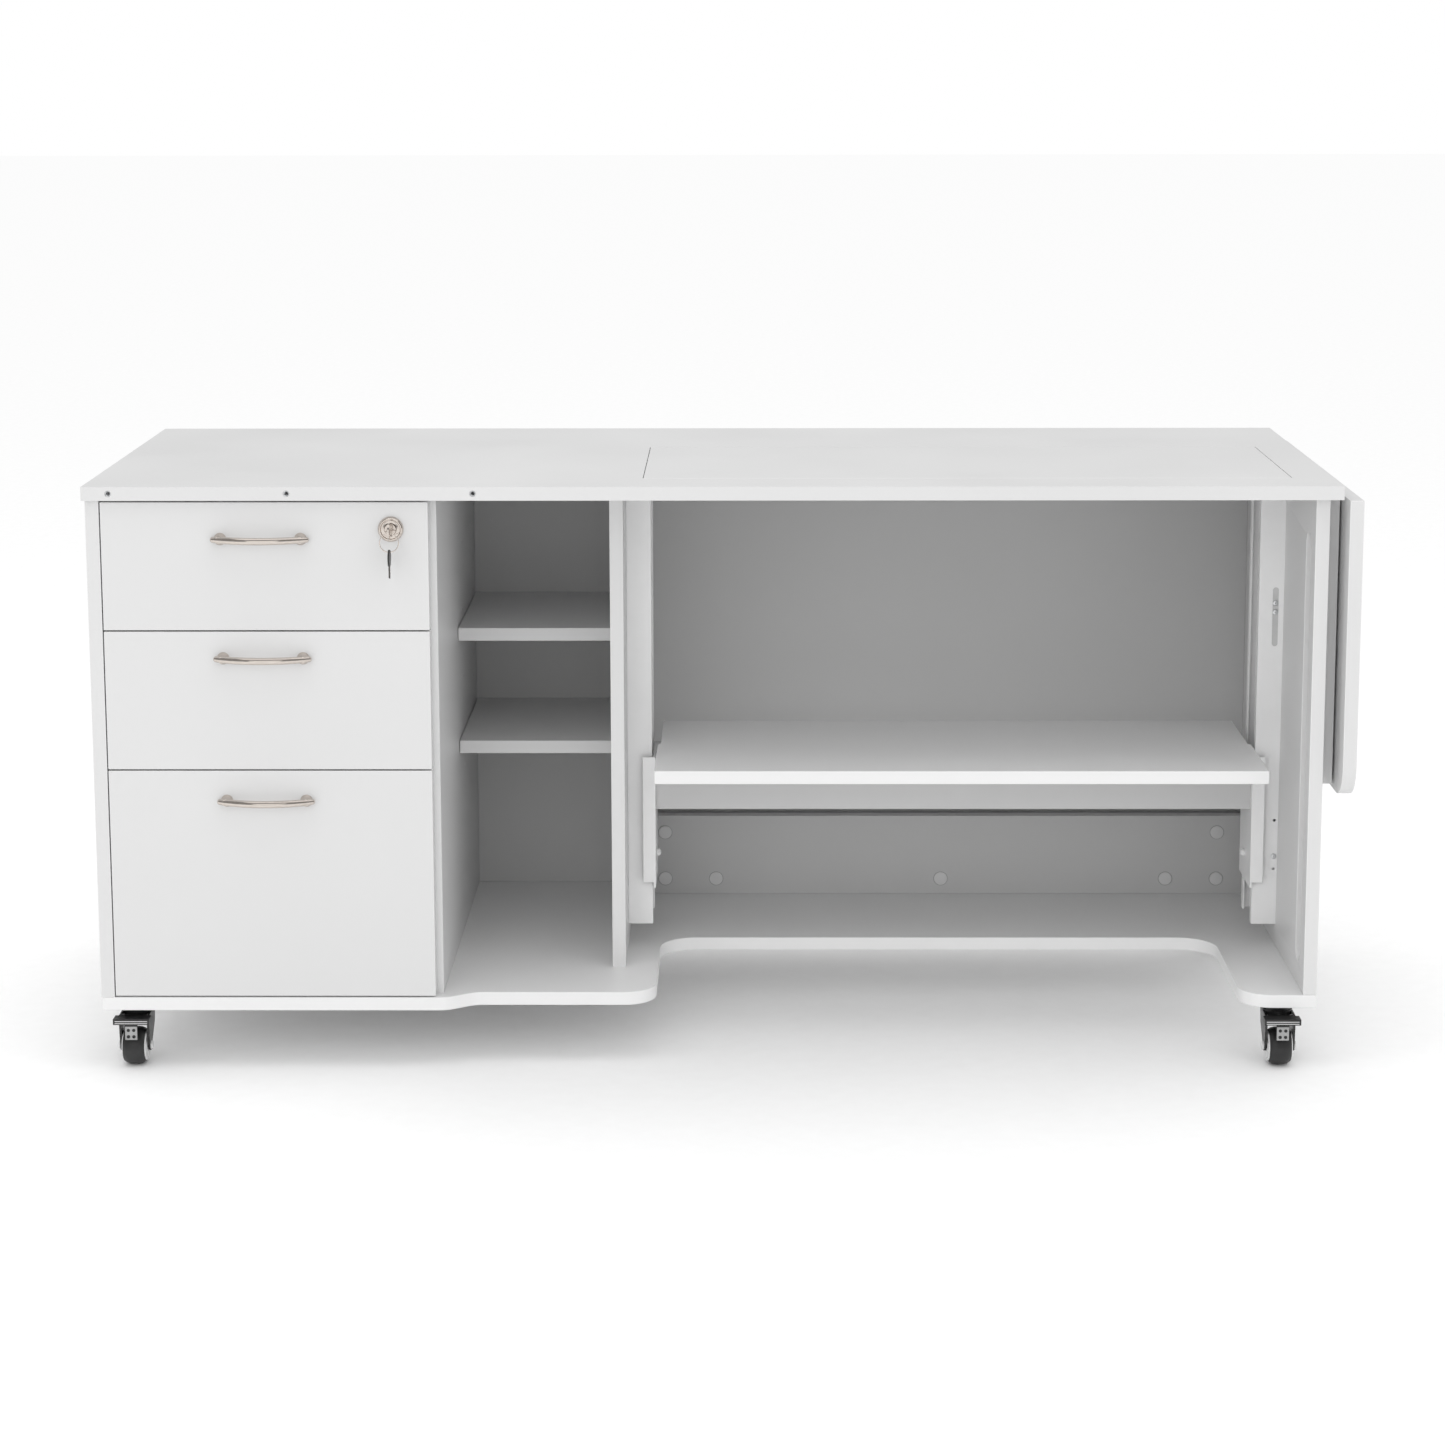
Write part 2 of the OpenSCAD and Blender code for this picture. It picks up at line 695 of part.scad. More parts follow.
// Fixed plates under the worktop carry the outer knuckles and the pin
module leaf_hinge_plates() {
    part = hinge_len / 3;
    color(NICKEL) placed() for (y = hinge_ys) {
        slab(right_end + seam, y - hinge_len / 2, under_top - hinge_t, top_w - right_end - seam, hinge_len, hinge_t);
        for (y1 = [y - hinge_len / 2, y + part / 2]) {
            slab(top_w - 4, y1, hinge_z + knuckle_d / 2 - hinge_t, hinge_x - top_w + 4, part, hinge_t);
            bar_y([hinge_x, y1, hinge_z], knuckle_d, part);
        }
        bar_y([hinge_x, y - hinge_len / 2, hinge_z], hinge_pin_d, hinge_len);
    }
}
// Moving flaps on the leaf's inner face carry the middle knuckle
module leaf_hinge_flaps() {
    part = hinge_len / 3;
    color(NICKEL) placed() for (y = hinge_ys) difference() {
        union() {
            bar_y([hinge_x, y - part / 2 + knuckle_gap, hinge_z], knuckle_d, part - 2 * knuckle_gap);
            slab(leaf_face_x - hinge_t, y - part / 2 + knuckle_gap, hinge_z - knuckle_d, hinge_t,
                part - 2 * knuckle_gap, knuckle_d);
            slab(leaf_face_x - hinge_t, y - hinge_len / 2, hinge_z - hinge_flap, hinge_t, hinge_len,
                hinge_flap - knuckle_d / 2 - 1);
        }
        bar_y([hinge_x, y - hinge_len, hinge_z], hinge_pin_d + 2 * pin_clear, 2 * hinge_len);
    }
}
// A board on its own hinges beside the panel, notched round the front hinge of the leaf
module leaf_support() {
    top = under_top - support_top_gap;
    color(WHITE) placed() difference() {
        slab(right_end + support_gap, support_y, top - support_h, support_t, support_len, support_h);
        slab(right_end, hinge_ys[0] - hinge_len / 2 - 10, top - support_notch, board + 10, hinge_len + 20,
            support_notch + 1);
    }
}
module support_hinges() {
    low = under_top - support_top_gap - support_h;
    y = support_y + support_len;
    color(NICKEL) placed() for (z = [low + 60, low + support_h - 60 - support_hinge_h]) {
        bar_z([right_end + support_hinge_d / 2, y + support_hinge_d / 2, z], support_hinge_d, support_hinge_h);
        slab(right_end, y + support_hinge_d / 2, z, hinge_t, 30, support_hinge_h);
        slab(right_end + support_hinge_d / 2, y, z, support_t / 2, hinge_t, support_hinge_h);
    }
}

// ---- Casters ----
// Drawn with the swivel axis at the origin and the wheel trailing towards -y;
// the rear pair stands turned round, so its brake levers face the back
module at_caster(n) {
    translate([caster_at[n - 1][0], caster_at[n - 1][1], 0]) rotate([0, 0, n > 2 ? 180 : 0]) children();
}
module caster_plates() {
    neck = fork_top - fork_t - seam;
    color(BLACK) placed() for (n = [1 : 4]) at_caster(n) difference() {
        union() {
            translate([-plate_w / 2, -plate_w / 2, caster_h - plate_t]) cube([plate_w, plate_w, plate_t]);
            bar_z([0, 0, fork_top + seam], race_d, race_t);
            bar_z([0, 0, neck - rivet_t], swivel_pin_d, caster_h - neck);
            bar_z([0, 0, neck - rivet_t], swivel_pin_d + 6, rivet_t);
        }
        for (x = [-1, 1]) for (y = [-1, 1])
            bar_z([x * (plate_w / 2 - 5), y * (plate_w / 2 - 5), caster_h - plate_t - 1], 5, plate_t + 2);
    }
}
// One leg of the fork, with an ear in front for the brake lever's pin
module fork_leg() {
    top = fork_top - fork_t;
    rotate([90, 0, 90]) linear_extrude(fork_t) polygon([
        [15, top], [-18, top], [pedal_at[0] - 2, pedal_at[1] + 4.5], [pedal_at[0] - 4.5, pedal_at[1] + 2],
        [pedal_at[0] - 4.5, pedal_at[1] - 3], [-trail - 7, wheel_d / 2], [-trail + 7, wheel_d / 2],
        [10, top - 20]]);
    bar_x([0, -trail, wheel_d / 2], 14, fork_t);
}
module caster_fork() {
    top = fork_top - fork_t;
    difference() {
        union() {
            bar_z([0, 0, top], 2 * leg_out, fork_t);
            difference() {
                bar_z([0, 0, top - fork_drop], 2 * leg_out, fork_drop + 1);
                bar_z([0, 0, top - fork_drop - 1], 2 * leg_in, fork_drop + 1);
            }
            for (x = [-leg_out, leg_in]) translate([x, 0, 0]) fork_leg();
            bar_x([-leg_out - 2, -trail, wheel_d / 2], axle_d, 2 * (leg_out + 2));
            bar_x([-leg_out, pedal_at[0], pedal_at[1]], pedal_pin_d, 2 * leg_out);
        }
        bar_z([0, 0, top - 1], swivel_pin_d + 2 * pin_clear, fork_t + 2);
    }
}
module caster_wheel() {
    r = wheel_d / 2;
    hub = axle_d / 2 + pin_clear;
    translate([-wheel_w / 2, -trail, r]) rotate([0, 90, 0]) rotate_extrude($fn = 96) polygon([
        [hub, 0], [r - 7, 0], [r - 6, 1], [r - 4, 1], [r - 1.2, 2.5], [r, 6],
        [r, wheel_w - 6], [r - 1.2, wheel_w - 2.5], [r - 4, wheel_w - 1], [r - 6, wheel_w - 1],
        [r - 7, wheel_w], [hub, wheel_w]]);
}
// Brake lever: a wide hood in front of the fork, a barrel on the pin between the
// fork's ears, and a shoe hanging before the tread
module caster_pedal() {
    hood_y = pedal_at[0] - pedal_reach;
    hood_end = pedal_at[0] - 6;
    low = pedal_at[1] - 2;
    inner = leg_in - knuckle_gap;
    difference() {
        union() {
            translate([-hood_w / 2, hood_y, low]) cube([hood_w, hood_end - hood_y, hood_t]);
            translate([-inner, hood_end - 1, low]) cube([2 * inner, pedal_at[0] - hood_end + 1, hood_t - 2]);
            bar_x([-inner, pedal_at[0], pedal_at[1]], pedal_pin_d + 5, 2 * inner);
            translate([-shoe_w / 2, hood_y, low - shoe_h - 1]) cube([shoe_w, shoe_t, shoe_h + 2]);
        }
        bar_x([-hood_w, pedal_at[0], pedal_at[1]], pedal_pin_d + 2 * pin_clear, 2 * hood_w);
    }
}

worktop();
base_board();
left_side_panel();
pedestal_divider();
cubby_divider();
right_side_panel();
left_back_panel();
kneehole_back_panel();
lower_back_rail();
cover_caps();
upper_shelf();
lower_shelf();
shelf_pins();
edge_inserts();
lift_rail_left();
lift_rail_right();
rail_screws();
cabinet_runners();
caster_plates();
leaf_support();
support_hinges();
leaf_hinge_plates();
lift_lid();
lift_platform();
lift_crossbar();
lift_carriages();
glide_blocks();
carriage_bolts();
for (i = [0 : 2]) {
    color(WHITE) placed() drawer_front(i);
    color(GREY) placed() drawer_box(i);
    color(NICKEL) placed() drawer_handle(i);
    color(NICKEL) placed() drawer_runners(i);
}
lock_housing();
lock_plug();
lock_cam();
key();
key_ring();
spare_key();
side_leaf();
leaf_hinge_flaps();
for (n = [1 : 4]) {
    color(BLACK) placed() at_caster(n) caster_fork();
    color(BLACK) placed() at_caster(n) caster_wheel();
    color(BLACK) placed() at_caster(n) caster_pedal();
}
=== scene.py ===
"""Looks of the sewing table: laminated boards, powder-coated lift, nickel fittings and casters.

Everything is in metres in the table's own frame: X to the drop leaf, Y to the back, Z up.
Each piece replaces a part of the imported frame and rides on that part's body.
"""
import json
from math import asin, cos, pi, radians, sin, tau

import bmesh
import bpy
from mathutils import Matrix, Vector


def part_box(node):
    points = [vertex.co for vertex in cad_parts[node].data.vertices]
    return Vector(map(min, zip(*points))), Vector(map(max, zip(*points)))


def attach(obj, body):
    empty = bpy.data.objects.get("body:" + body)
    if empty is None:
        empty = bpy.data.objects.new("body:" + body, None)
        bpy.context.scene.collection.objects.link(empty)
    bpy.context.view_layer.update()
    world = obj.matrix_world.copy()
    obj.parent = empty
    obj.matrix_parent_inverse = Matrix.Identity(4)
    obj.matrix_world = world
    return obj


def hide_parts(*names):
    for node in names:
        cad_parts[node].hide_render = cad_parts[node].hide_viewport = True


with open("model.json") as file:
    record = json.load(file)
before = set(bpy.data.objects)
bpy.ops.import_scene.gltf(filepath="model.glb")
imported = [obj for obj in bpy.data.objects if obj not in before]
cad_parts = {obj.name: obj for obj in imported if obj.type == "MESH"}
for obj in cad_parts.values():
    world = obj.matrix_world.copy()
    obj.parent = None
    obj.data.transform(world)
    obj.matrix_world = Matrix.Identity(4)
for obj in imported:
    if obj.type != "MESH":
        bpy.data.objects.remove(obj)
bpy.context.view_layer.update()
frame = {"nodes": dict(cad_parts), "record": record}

BODIES = frame["record"]["behaviour"]["bodies"]
BODY_OF = {node: body for body, nodes in BODIES.items() for node in nodes}
MM = 0.001
WELD = 0.01 * MM


def centre(node):
    """Middle of a part's box."""
    low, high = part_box(node)
    return (low + high) / 2


# ---------------------------------------------------------------- camera, floor and light

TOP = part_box("worktop")
# Where the viewer stands from the worktop's left front corner, and how the viewer looks
VIEWER_OFFSET = Vector((0.8647, -4.0248, 0.5838))
VIEWER_TURN, VIEWER_TILT, VIEWER_ROLL = 0.411, 80.88, -0.100
SENSOR_WIDTH, LENS = 36.0, 78.88
SHIFT_X, SHIFT_Y = -0.0051, -0.13
# Strengths of the surroundings and of the two lights
AMBIENT, REFLECTED, BACKDROP = 1.0, 0.4, 1.0
OVERHEAD, FRONT = 22.0, 20.0


def add_camera():
    """The viewer stands about four metres in front of the table, a little above it."""
    place = Vector((TOP[0].x, TOP[0].y, TOP[1].z)) + VIEWER_OFFSET
    data = bpy.data.cameras.new("viewer")
    data.sensor_width = SENSOR_WIDTH
    data.lens = LENS
    data.shift_x = SHIFT_X
    data.shift_y = SHIFT_Y
    data.clip_end = 60.0
    camera = bpy.data.objects.new("viewer", data)
    camera.matrix_world = (
        Matrix.Translation(place)
        @ Matrix.Rotation(radians(VIEWER_TURN), 4, "Z")
        @ Matrix.Rotation(radians(VIEWER_TILT), 4, "X")
        @ Matrix.Rotation(radians(VIEWER_ROLL), 4, "Z")
    )
    bpy.context.scene.collection.objects.link(camera)
    bpy.context.scene.camera = camera


def add_softbox(name, place, target, size, power):
    """A large rectangular studio light."""
    data = bpy.data.lights.new(name, "AREA")
    data.shape = "RECTANGLE"
    data.size, data.size_y = size
    data.energy = power
    lamp = bpy.data.objects.new(name, data)
    lamp.location = place
    aim = Vector(target) - Vector(place)
    lamp.rotation_euler = aim.to_track_quat("-Z", "Y").to_euler()
    bpy.context.scene.collection.objects.link(lamp)


def add_studio():
    """White surroundings that reflections see dimmer, a pale floor, and two soft lights."""
    scene = bpy.context.scene
    scene.view_settings.view_transform = "Standard"
    world = bpy.data.worlds.new("studio")
    world.use_nodes = True
    scene.world = world
    nodes, links = world.node_tree.nodes, world.node_tree.links
    sky = nodes["Background"]
    sky.inputs["Color"].default_value = (1.0, 1.0, 1.0, 1.0)
    sky.inputs["Strength"].default_value = AMBIENT
    backdrop = nodes.new("ShaderNodeBackground")
    backdrop.inputs["Color"].default_value = (1.0, 1.0, 1.0, 1.0)
    backdrop.inputs["Strength"].default_value = BACKDROP
    chooser = nodes.new("ShaderNodeMixShader")
    ray = nodes.new("ShaderNodeLightPath")
    links.new(ray.outputs["Is Camera Ray"], chooser.inputs["Fac"])
    dim = nodes.new("ShaderNodeBackground")
    dim.inputs["Strength"].default_value = REFLECTED
    for_gloss = nodes.new("ShaderNodeMixShader")
    links.new(ray.outputs["Is Glossy Ray"], for_gloss.inputs["Fac"])
    links.new(sky.outputs["Background"], for_gloss.inputs[1])
    links.new(dim.outputs["Background"], for_gloss.inputs[2])
    links.new(for_gloss.outputs["Shader"], chooser.inputs[1])
    links.new(backdrop.outputs["Background"], chooser.inputs[2])
    links.new(chooser.outputs["Shader"], nodes["World Output"].inputs["Surface"])
    add_softbox("overhead", (0.0, -0.4, 3.2), (0, 0.2, 0.4), (3.6, 2.2), OVERHEAD)
    add_softbox("front", (-0.8, -4.6, 2.0), (0, 0, 0.4), (3.0, 2.4), FRONT)
    floor = bmesh.new()
    bmesh.ops.create_grid(floor, x_segments=8, y_segments=8, size=30.0)
    mesh = bpy.data.meshes.new("floor")
    floor.to_mesh(mesh)
    floor.free()
    sheet = bpy.data.objects.new("floor", mesh)
    sheet.data.materials.append(FINISH["floor"])
    scene.collection.objects.link(sheet)


# ---------------------------------------------------------------- effects shared by the finishes


def new_effect(name, inputs, outputs):
    """A shader node group with float inputs and the given outputs."""
    tree = bpy.data.node_groups.new(name, "ShaderNodeTree")
    for label, value in inputs.items():
        socket = tree.interface.new_socket(label, in_out="INPUT", socket_type="NodeSocketFloat")
        socket.default_value = value
    for label in outputs:
        tree.interface.new_socket(label, in_out="OUTPUT", socket_type="NodeSocketFloat")
    tree.nodes.new("NodeGroupInput")
    tree.nodes.new("NodeGroupOutput")
    return tree


def noise_in(tree, scale, detail, stretch=None):
    """A noise texture in object space. scale is a number or a group input's name."""
    nodes, links = tree.nodes, tree.links
    where = nodes.new("ShaderNodeTexCoord")
    source = where.outputs["Object"]
    if stretch:
        mapping = nodes.new("ShaderNodeMapping")
        mapping.inputs["Scale"].default_value = stretch
        links.new(source, mapping.inputs["Vector"])
        source = mapping.outputs["Vector"]
    noise = nodes.new("ShaderNodeTexNoise")
    noise.inputs["Detail"].default_value = detail
    links.new(source, noise.inputs["Vector"])
    if isinstance(scale, str):
        links.new(tree.nodes["Group Input"].outputs[scale], noise.inputs["Scale"])
    else:
        noise.inputs["Scale"].default_value = scale
    return noise.outputs["Fac"]


def scaled(tree, value, low, high, start=0.3, stop=0.7):
    """Maps a texture's middle range to low..high."""
    node = tree.nodes.new("ShaderNodeMapRange")
    node.inputs["From Min"].default_value = start
    node.inputs["From Max"].default_value = stop
    node.inputs["To Min"].default_value = low
    node.inputs["To Max"].default_value = high
    tree.links.new(value, node.inputs["Value"])
    return node.outputs["Result"]


def combined(tree, operation, a, b):
    """Math node of two values; b may be a number or a group input's name."""
    node = tree.nodes.new("ShaderNodeMath")
    node.operation = operation
    tree.links.new(a, node.inputs[0])
    if isinstance(b, (int, float)):
        node.inputs[1].default_value = b
    elif isinstance(b, str):
        tree.links.new(tree.nodes["Group Input"].outputs[b], node.inputs[1])
    else:
        tree.links.new(b, node.inputs[1])
    return node.outputs["Value"]


def out(tree, **values):
    """Feeds the group's outputs; underscores in a name stand for spaces."""
    for label, value in values.items():
        tree.links.new(value, tree.nodes["Group Output"].inputs[label.replace("_", " ")])


def melamine_effect():
    """Fine pearl texture of a melamine face, with soft hand marks and slight toning."""
    tree = new_effect(
        "melamine",
        {"Pearl Scale": 1400.0, "Mark Scale": 5.0, "Roughness": 0.42, "Mark Depth": 0.1},
        ["Height", "Roughness", "Tone"],
    )
    pearl = noise_in(tree, "Pearl Scale", 3.0)
    marks = scaled(tree, noise_in(tree, "Mark Scale", 5.0), -0.5, 0.5)
    rough = combined(tree, "ADD", combined(tree, "MULTIPLY", marks, "Mark Depth"), "Roughness")
    out(tree, Height=pearl, Roughness=rough, Tone=scaled(tree, noise_in(tree, 2.2, 3.0), 0.0, 1.0))
    return tree


def brushed_effect():
    """Fine parallel lines left by a brushing belt running along X."""
    tree = new_effect("brushed", {"Roughness": 0.25, "Line Depth": 0.16}, ["Height", "Roughness", "Tone"])
    lines = noise_in(tree, 900.0, 2.0, stretch=(0.02, 1.0, 1.0))
    spread = combined(tree, "MULTIPLY", scaled(tree, lines, -0.5, 0.5), "Line Depth")
    rough = combined(tree, "ADD", spread, "Roughness")
    out(tree, Height=lines, Roughness=rough, Tone=scaled(tree, lines, 0.0, 1.0))
    return tree


def coating_effect():
    """Orange peel of a powder coat, or the spark texture of a moulding, by its scale."""
    tree = new_effect(
        "coating",
        {"Grain Scale": 350.0, "Roughness": 0.35, "Rub Depth": 0.15},
        ["Height", "Roughness", "Tone"],
    )
    grain = noise_in(tree, "Grain Scale", 2.0)
    rubs = scaled(tree, noise_in(tree, 18.0, 4.0), -0.5, 0.5)
    rough = combined(tree, "ADD", combined(tree, "MULTIPLY", rubs, "Rub Depth"), "Roughness")
    out(tree, Height=grain, Roughness=rough, Tone=scaled(tree, noise_in(tree, 40.0, 4.0), 0.0, 1.0))
    return tree


def wear_effect():
    """Worn spots on edges: the surface's own sharpness, broken up by noise."""
    tree = new_effect("edge_wear", {"Amount": 0.5}, ["Mask"])
    shape = tree.nodes.new("ShaderNodeNewGeometry")
    edges = scaled(tree, shape.outputs["Pointiness"], 0.0, 1.0, 0.52, 0.62)
    broken = scaled(tree, noise_in(tree, 120.0, 5.0), 0.0, 1.0, 0.42, 0.62)
    mask = combined(tree, "MULTIPLY", combined(tree, "MULTIPLY", edges, broken), "Amount")
    out(tree, Mask=mask)
    return tree


EFFECTS = {
    "melamine": melamine_effect(),
    "brushed": brushed_effect(),
    "coating": coating_effect(),
    "edge_wear": wear_effect(),
}

# ---------------------------------------------------------------- finishes


def place_effect(material, name, **values):
    """Puts an effect into a material with its own values."""
    node = material.node_tree.nodes.new("ShaderNodeGroup")
    node.node_tree = EFFECTS[name]
    for label, value in values.items():
        node.inputs[label.replace("_", " ")].default_value = value
    return node


def mixed(material, low, high, factor):
    """A colour between low and high by a 0..1 factor."""
    node = material.node_tree.nodes.new("ShaderNodeMix")
    node.data_type = "RGBA"
    for socket, value in ((node.inputs[6], low), (node.inputs[7], high)):
        if isinstance(value, tuple):
            socket.default_value = (*value, 1.0)
        else:
            material.node_tree.links.new(value, socket)
    material.node_tree.links.new(factor, node.inputs["Factor"])
    return node.outputs[2]


def new_finish(name, effect, low, high, bump, metallic=0.0, worn=None, worn_color=None, **values):
    """A finish from one surface effect: two tones, roughness and bump, and perhaps worn edges."""
    material = bpy.data.materials.new(name)
    material.use_nodes = True
    links = material.node_tree.links
    shader = material.node_tree.nodes["Principled BSDF"]
    surface = place_effect(material, effect, **values)
    color = mixed(material, low, high, surface.outputs["Tone"])
    if worn:
        wear = place_effect(material, "edge_wear", Amount=worn)
        color = mixed(material, color, worn_color, wear.outputs["Mask"])
    links.new(color, shader.inputs["Base Color"])
    links.new(surface.outputs["Roughness"], shader.inputs["Roughness"])
    relief = material.node_tree.nodes.new("ShaderNodeBump")
    relief.inputs["Strength"].default_value = 0.5
    relief.inputs["Distance"].default_value = bump
    links.new(surface.outputs["Height"], relief.inputs["Height"])
    links.new(relief.outputs["Normal"], shader.inputs["Normal"])
    shader.inputs["Metallic"].default_value = metallic
    return material


def grey(value):
    """A neutral tone."""
    return (value, value, value)


FINISH = {
    "laminate": new_finish("white_laminate", "melamine", grey(0.68), grey(0.70), 0.00003),
    # Painted light: the same white laminate made brighter, standing in for the light falling on the base
    # board and lift platform
    "laminate_painted_light": new_finish("laminate_painted_light", "melamine", grey(0.80), grey(0.82), 0.00003),
    "edge_band": new_finish("white_edge_band", "melamine", grey(0.745), grey(0.765), 0.00001, Roughness=0.3),
    # Painted shade: the same white laminate darkened, standing in for the shade on the back panels, lower
    # back rail and lift crossbar
    "laminate_painted_shade_back": new_finish("white_laminate_painted_shade", "melamine", grey(0.55), grey(0.58), 0.00003),
    "lining": new_finish("drawer_lining", "melamine", grey(0.66), grey(0.70), 0.00003, Roughness=0.5),
    # Painted shade: the white powder coat darkened on the floor of the rail's pressed groove
    "slot_shade": new_finish("painted_slot_shade", "coating", grey(0.56), grey(0.62), 0.00005, Roughness=0.4),
    # Painted shade: a dark grey for the thin discs behind the cover caps, standing in for the shadow round
    # each cap
    "seam_shade": new_finish("shaded_seat", "coating", grey(0.30), grey(0.38), 0.00003, Roughness=0.6),
    "white_steel": new_finish("white_powder_coat", "coating", grey(0.86), grey(0.88), 0.00005),
    "nickel": new_finish(
        "brushed_nickel", "brushed", (0.60, 0.54, 0.49), (0.70, 0.64, 0.59), 0.00001, metallic=1.0,
        Roughness=0.14,
    ),
    # Painted shade: nickel darkened for the spare key's blade, standing in for the shade it hangs in
    "nickel_painted_shade": new_finish(
        "nickel_painted_shade", "brushed", (0.07, 0.065, 0.06), (0.13, 0.12, 0.11), 0.00001, metallic=1.0,
        Roughness=0.3,
    ),
    "zinc": new_finish(
        "zinc_plate", "coating", (0.66, 0.67, 0.68), (0.78, 0.79, 0.80), 0.00001, metallic=1.0,
        Roughness=0.3,
    ),
    "nylon": new_finish("white_nylon", "coating", grey(0.76), grey(0.80), 0.00002, Grain_Scale=900.0),
    "cap": new_finish("cover_cap_plastic", "coating", grey(0.68), grey(0.71), 0.00002, Grain_Scale=900.0),
    "black_steel": new_finish(
        "black_powder_coat", "coating", grey(0.012), grey(0.02), 0.00004, worn=0.5, worn_color=grey(0.16),
        Roughness=0.3,
    ),
    "black_plastic": new_finish(
        "black_moulding", "coating", grey(0.014), grey(0.022), 0.00003, Grain_Scale=1500.0, Roughness=0.34,
    ),
    "tread": new_finish(
        "tread_rubber", "coating", grey(0.016), grey(0.03), 0.00005, Grain_Scale=1100.0, Roughness=0.42,
    ),
    "rim_cover": new_finish(
        "pale_rim_plastic", "coating", grey(0.66), grey(0.74), 0.00002, Grain_Scale=900.0, Roughness=0.28,
    ),
    "shoe_steel": new_finish(
        "brake_shoe_steel", "coating", grey(0.34), grey(0.46), 0.00003, metallic=0.6, Roughness=0.38,
    ),
    "key_black": new_finish(
        "key_head_plastic", "coating", grey(0.02), grey(0.035), 0.00002, Grain_Scale=1300.0, Roughness=0.4,
    ),
    "floor": new_finish(
        "studio_floor", "coating", grey(0.96), grey(0.98), 0.0001, Grain_Scale=60.0, Roughness=0.7,
    ),
}

# The floor keeps no sheen
FINISH["floor"].node_tree.nodes["Principled BSDF"].inputs["Specular IOR Level"].default_value = 0.0

# ---------------------------------------------------------------- building pieces

SMOOTH_BELOW = radians(32)


def finish_piece(name, mesh, node, finishes, bevel=None, band=None, replaces=()):
    """Links a mesh as a piece that rides on its node's body, with its finishes and a softened edge."""
    piece = bpy.data.objects.new(name, mesh)
    for label in finishes:
        mesh.materials.append(FINISH[label])
    mesh.shade_smooth()
    mesh.set_sharp_from_angle(angle=SMOOTH_BELOW)
    bpy.context.scene.collection.objects.link(piece)
    if bevel:
        edge = piece.modifiers.new("softened_edges", "BEVEL")
        edge.width = bevel
        edge.segments = 3
        edge.limit_method = "ANGLE"
        edge.angle_limit = SMOOTH_BELOW
        edge.harden_normals = True
        if band is not None:
            edge.material = band
    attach(piece, BODY_OF[node])
    if replaces:
        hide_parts(*replaces)
    return piece


def mesh_from(bm, name):
    """Turns a bmesh into a mesh and frees it."""
    bmesh.ops.recalc_face_normals(bm, faces=bm.faces)
    mesh = bpy.data.meshes.new(name)
    bm.to_mesh(mesh)
    bm.free()
    return mesh


def softened(node, finishes, bevel, band=None, mark=None):
    """A part's own solid with softened edges. mark picks the faces that get the last finish."""
    bm = bmesh.new()
    bm.from_mesh(frame["nodes"][node].data)
    bmesh.ops.remove_doubles(bm, verts=bm.verts, dist=WELD)
    for face in bm.faces:
        face.material_index = 0
    bmesh.ops.dissolve_limit(bm, angle_limit=radians(0.5), verts=bm.verts, edges=bm.edges)
    if mark:
        bm.normal_update()
        for face in bm.faces:
            if mark(face):
                face.material_index = len(finishes) - 1
    mesh = mesh_from(bm, node)
    return finish_piece(f"{node}_piece", mesh, node, finishes, bevel, band, (node,))


def turned(profile, segments=48):
    """A lathe form about Z from (radius, height) pairs, closed at the ends that touch the axis."""
    bm = bmesh.new()
    rings = []
    for radius, height in profile:
        if radius < 1e-7:
            rings.append([bm.verts.new((0, 0, height))])
            continue
        rings.append(
            [bm.verts.new((radius * cos(tau * i / segments), radius * sin(tau * i / segments), height))
             for i in range(segments)]
        )
    for below, above in zip(rings, rings[1:]):
        for i in range(segments):
            j = (i + 1) % segments
            if len(below) == 1 and len(above) == 1:
                continue
            if len(below) == 1:
                bm.faces.new((below[0], above[i], above[j]))
            elif len(above) == 1:
                bm.faces.new((below[i], below[j], above[0]))
            else:
                bm.faces.new((below[i], below[j], above[j], above[i]))
    return bm


def swept(points, radii, sides):
    """A round bar along points, with its own radius at each, closed by a flat face at each end."""
    bm = bmesh.new()
    count = len(points)
    rings = []
    up = Vector((0, 0, 1))
    for i, point in enumerate(points):
        after = points[i + 1] if i < count - 1 else point
        before = points[i - 1] if i > 0 else point
        along = (after - before).normalized()
        side = along.cross(up).normalized()
        over = side.cross(along)
        rings.append(
            [bm.verts.new(point + radii[i] * (side * cos(tau * k / sides) + over * sin(tau * k / sides)))
             for k in range(sides)]
        )
    for a, b in zip(rings, rings[1:]):
        for k in range(sides):
            bm.faces.new((a[k], a[(k + 1) % sides], b[(k + 1) % sides], b[k]))
    bm.faces.new(rings[0])
    bm.faces.new(list(reversed(rings[-1])))
    return bm


def moved(bm, place, axis="Z"):
    """Turns a form made about Z to point along an axis, and moves it into place."""
    aim = Vector([1.0 if letter == axis[-1] else 0.0 for letter in "XYZ"])
    if axis[0] == "-":
        aim = -aim
    turn = Vector((0, 0, 1)).rotation_difference(aim).to_matrix().to_4x4()
    bmesh.ops.transform(bm, matrix=Matrix.Translation(place) @ turn, verts=bm.verts)
    return bm


def joined(forms):
    """Several forms in one bmesh."""
    whole = bmesh.new()
    for form in forms:
        part = bpy.data.meshes.new("part")
        form.to_mesh(part)
        form.free()
        whole.from_mesh(part)
        bpy.data.meshes.remove(part)
    return whole


def block(low, high):
    """A rectangular form between two corners."""
    bm = bmesh.new()
    bmesh.ops.create_cube(bm, size=1.0)
    low, high = Vector(low), Vector(high)
    size = high - low
    stretch = Matrix.Diagonal((*size, 1.0))
    bmesh.ops.transform(bm, matrix=Matrix.Translation((low + high) / 2) @ stretch, verts=bm.verts)
    return bm


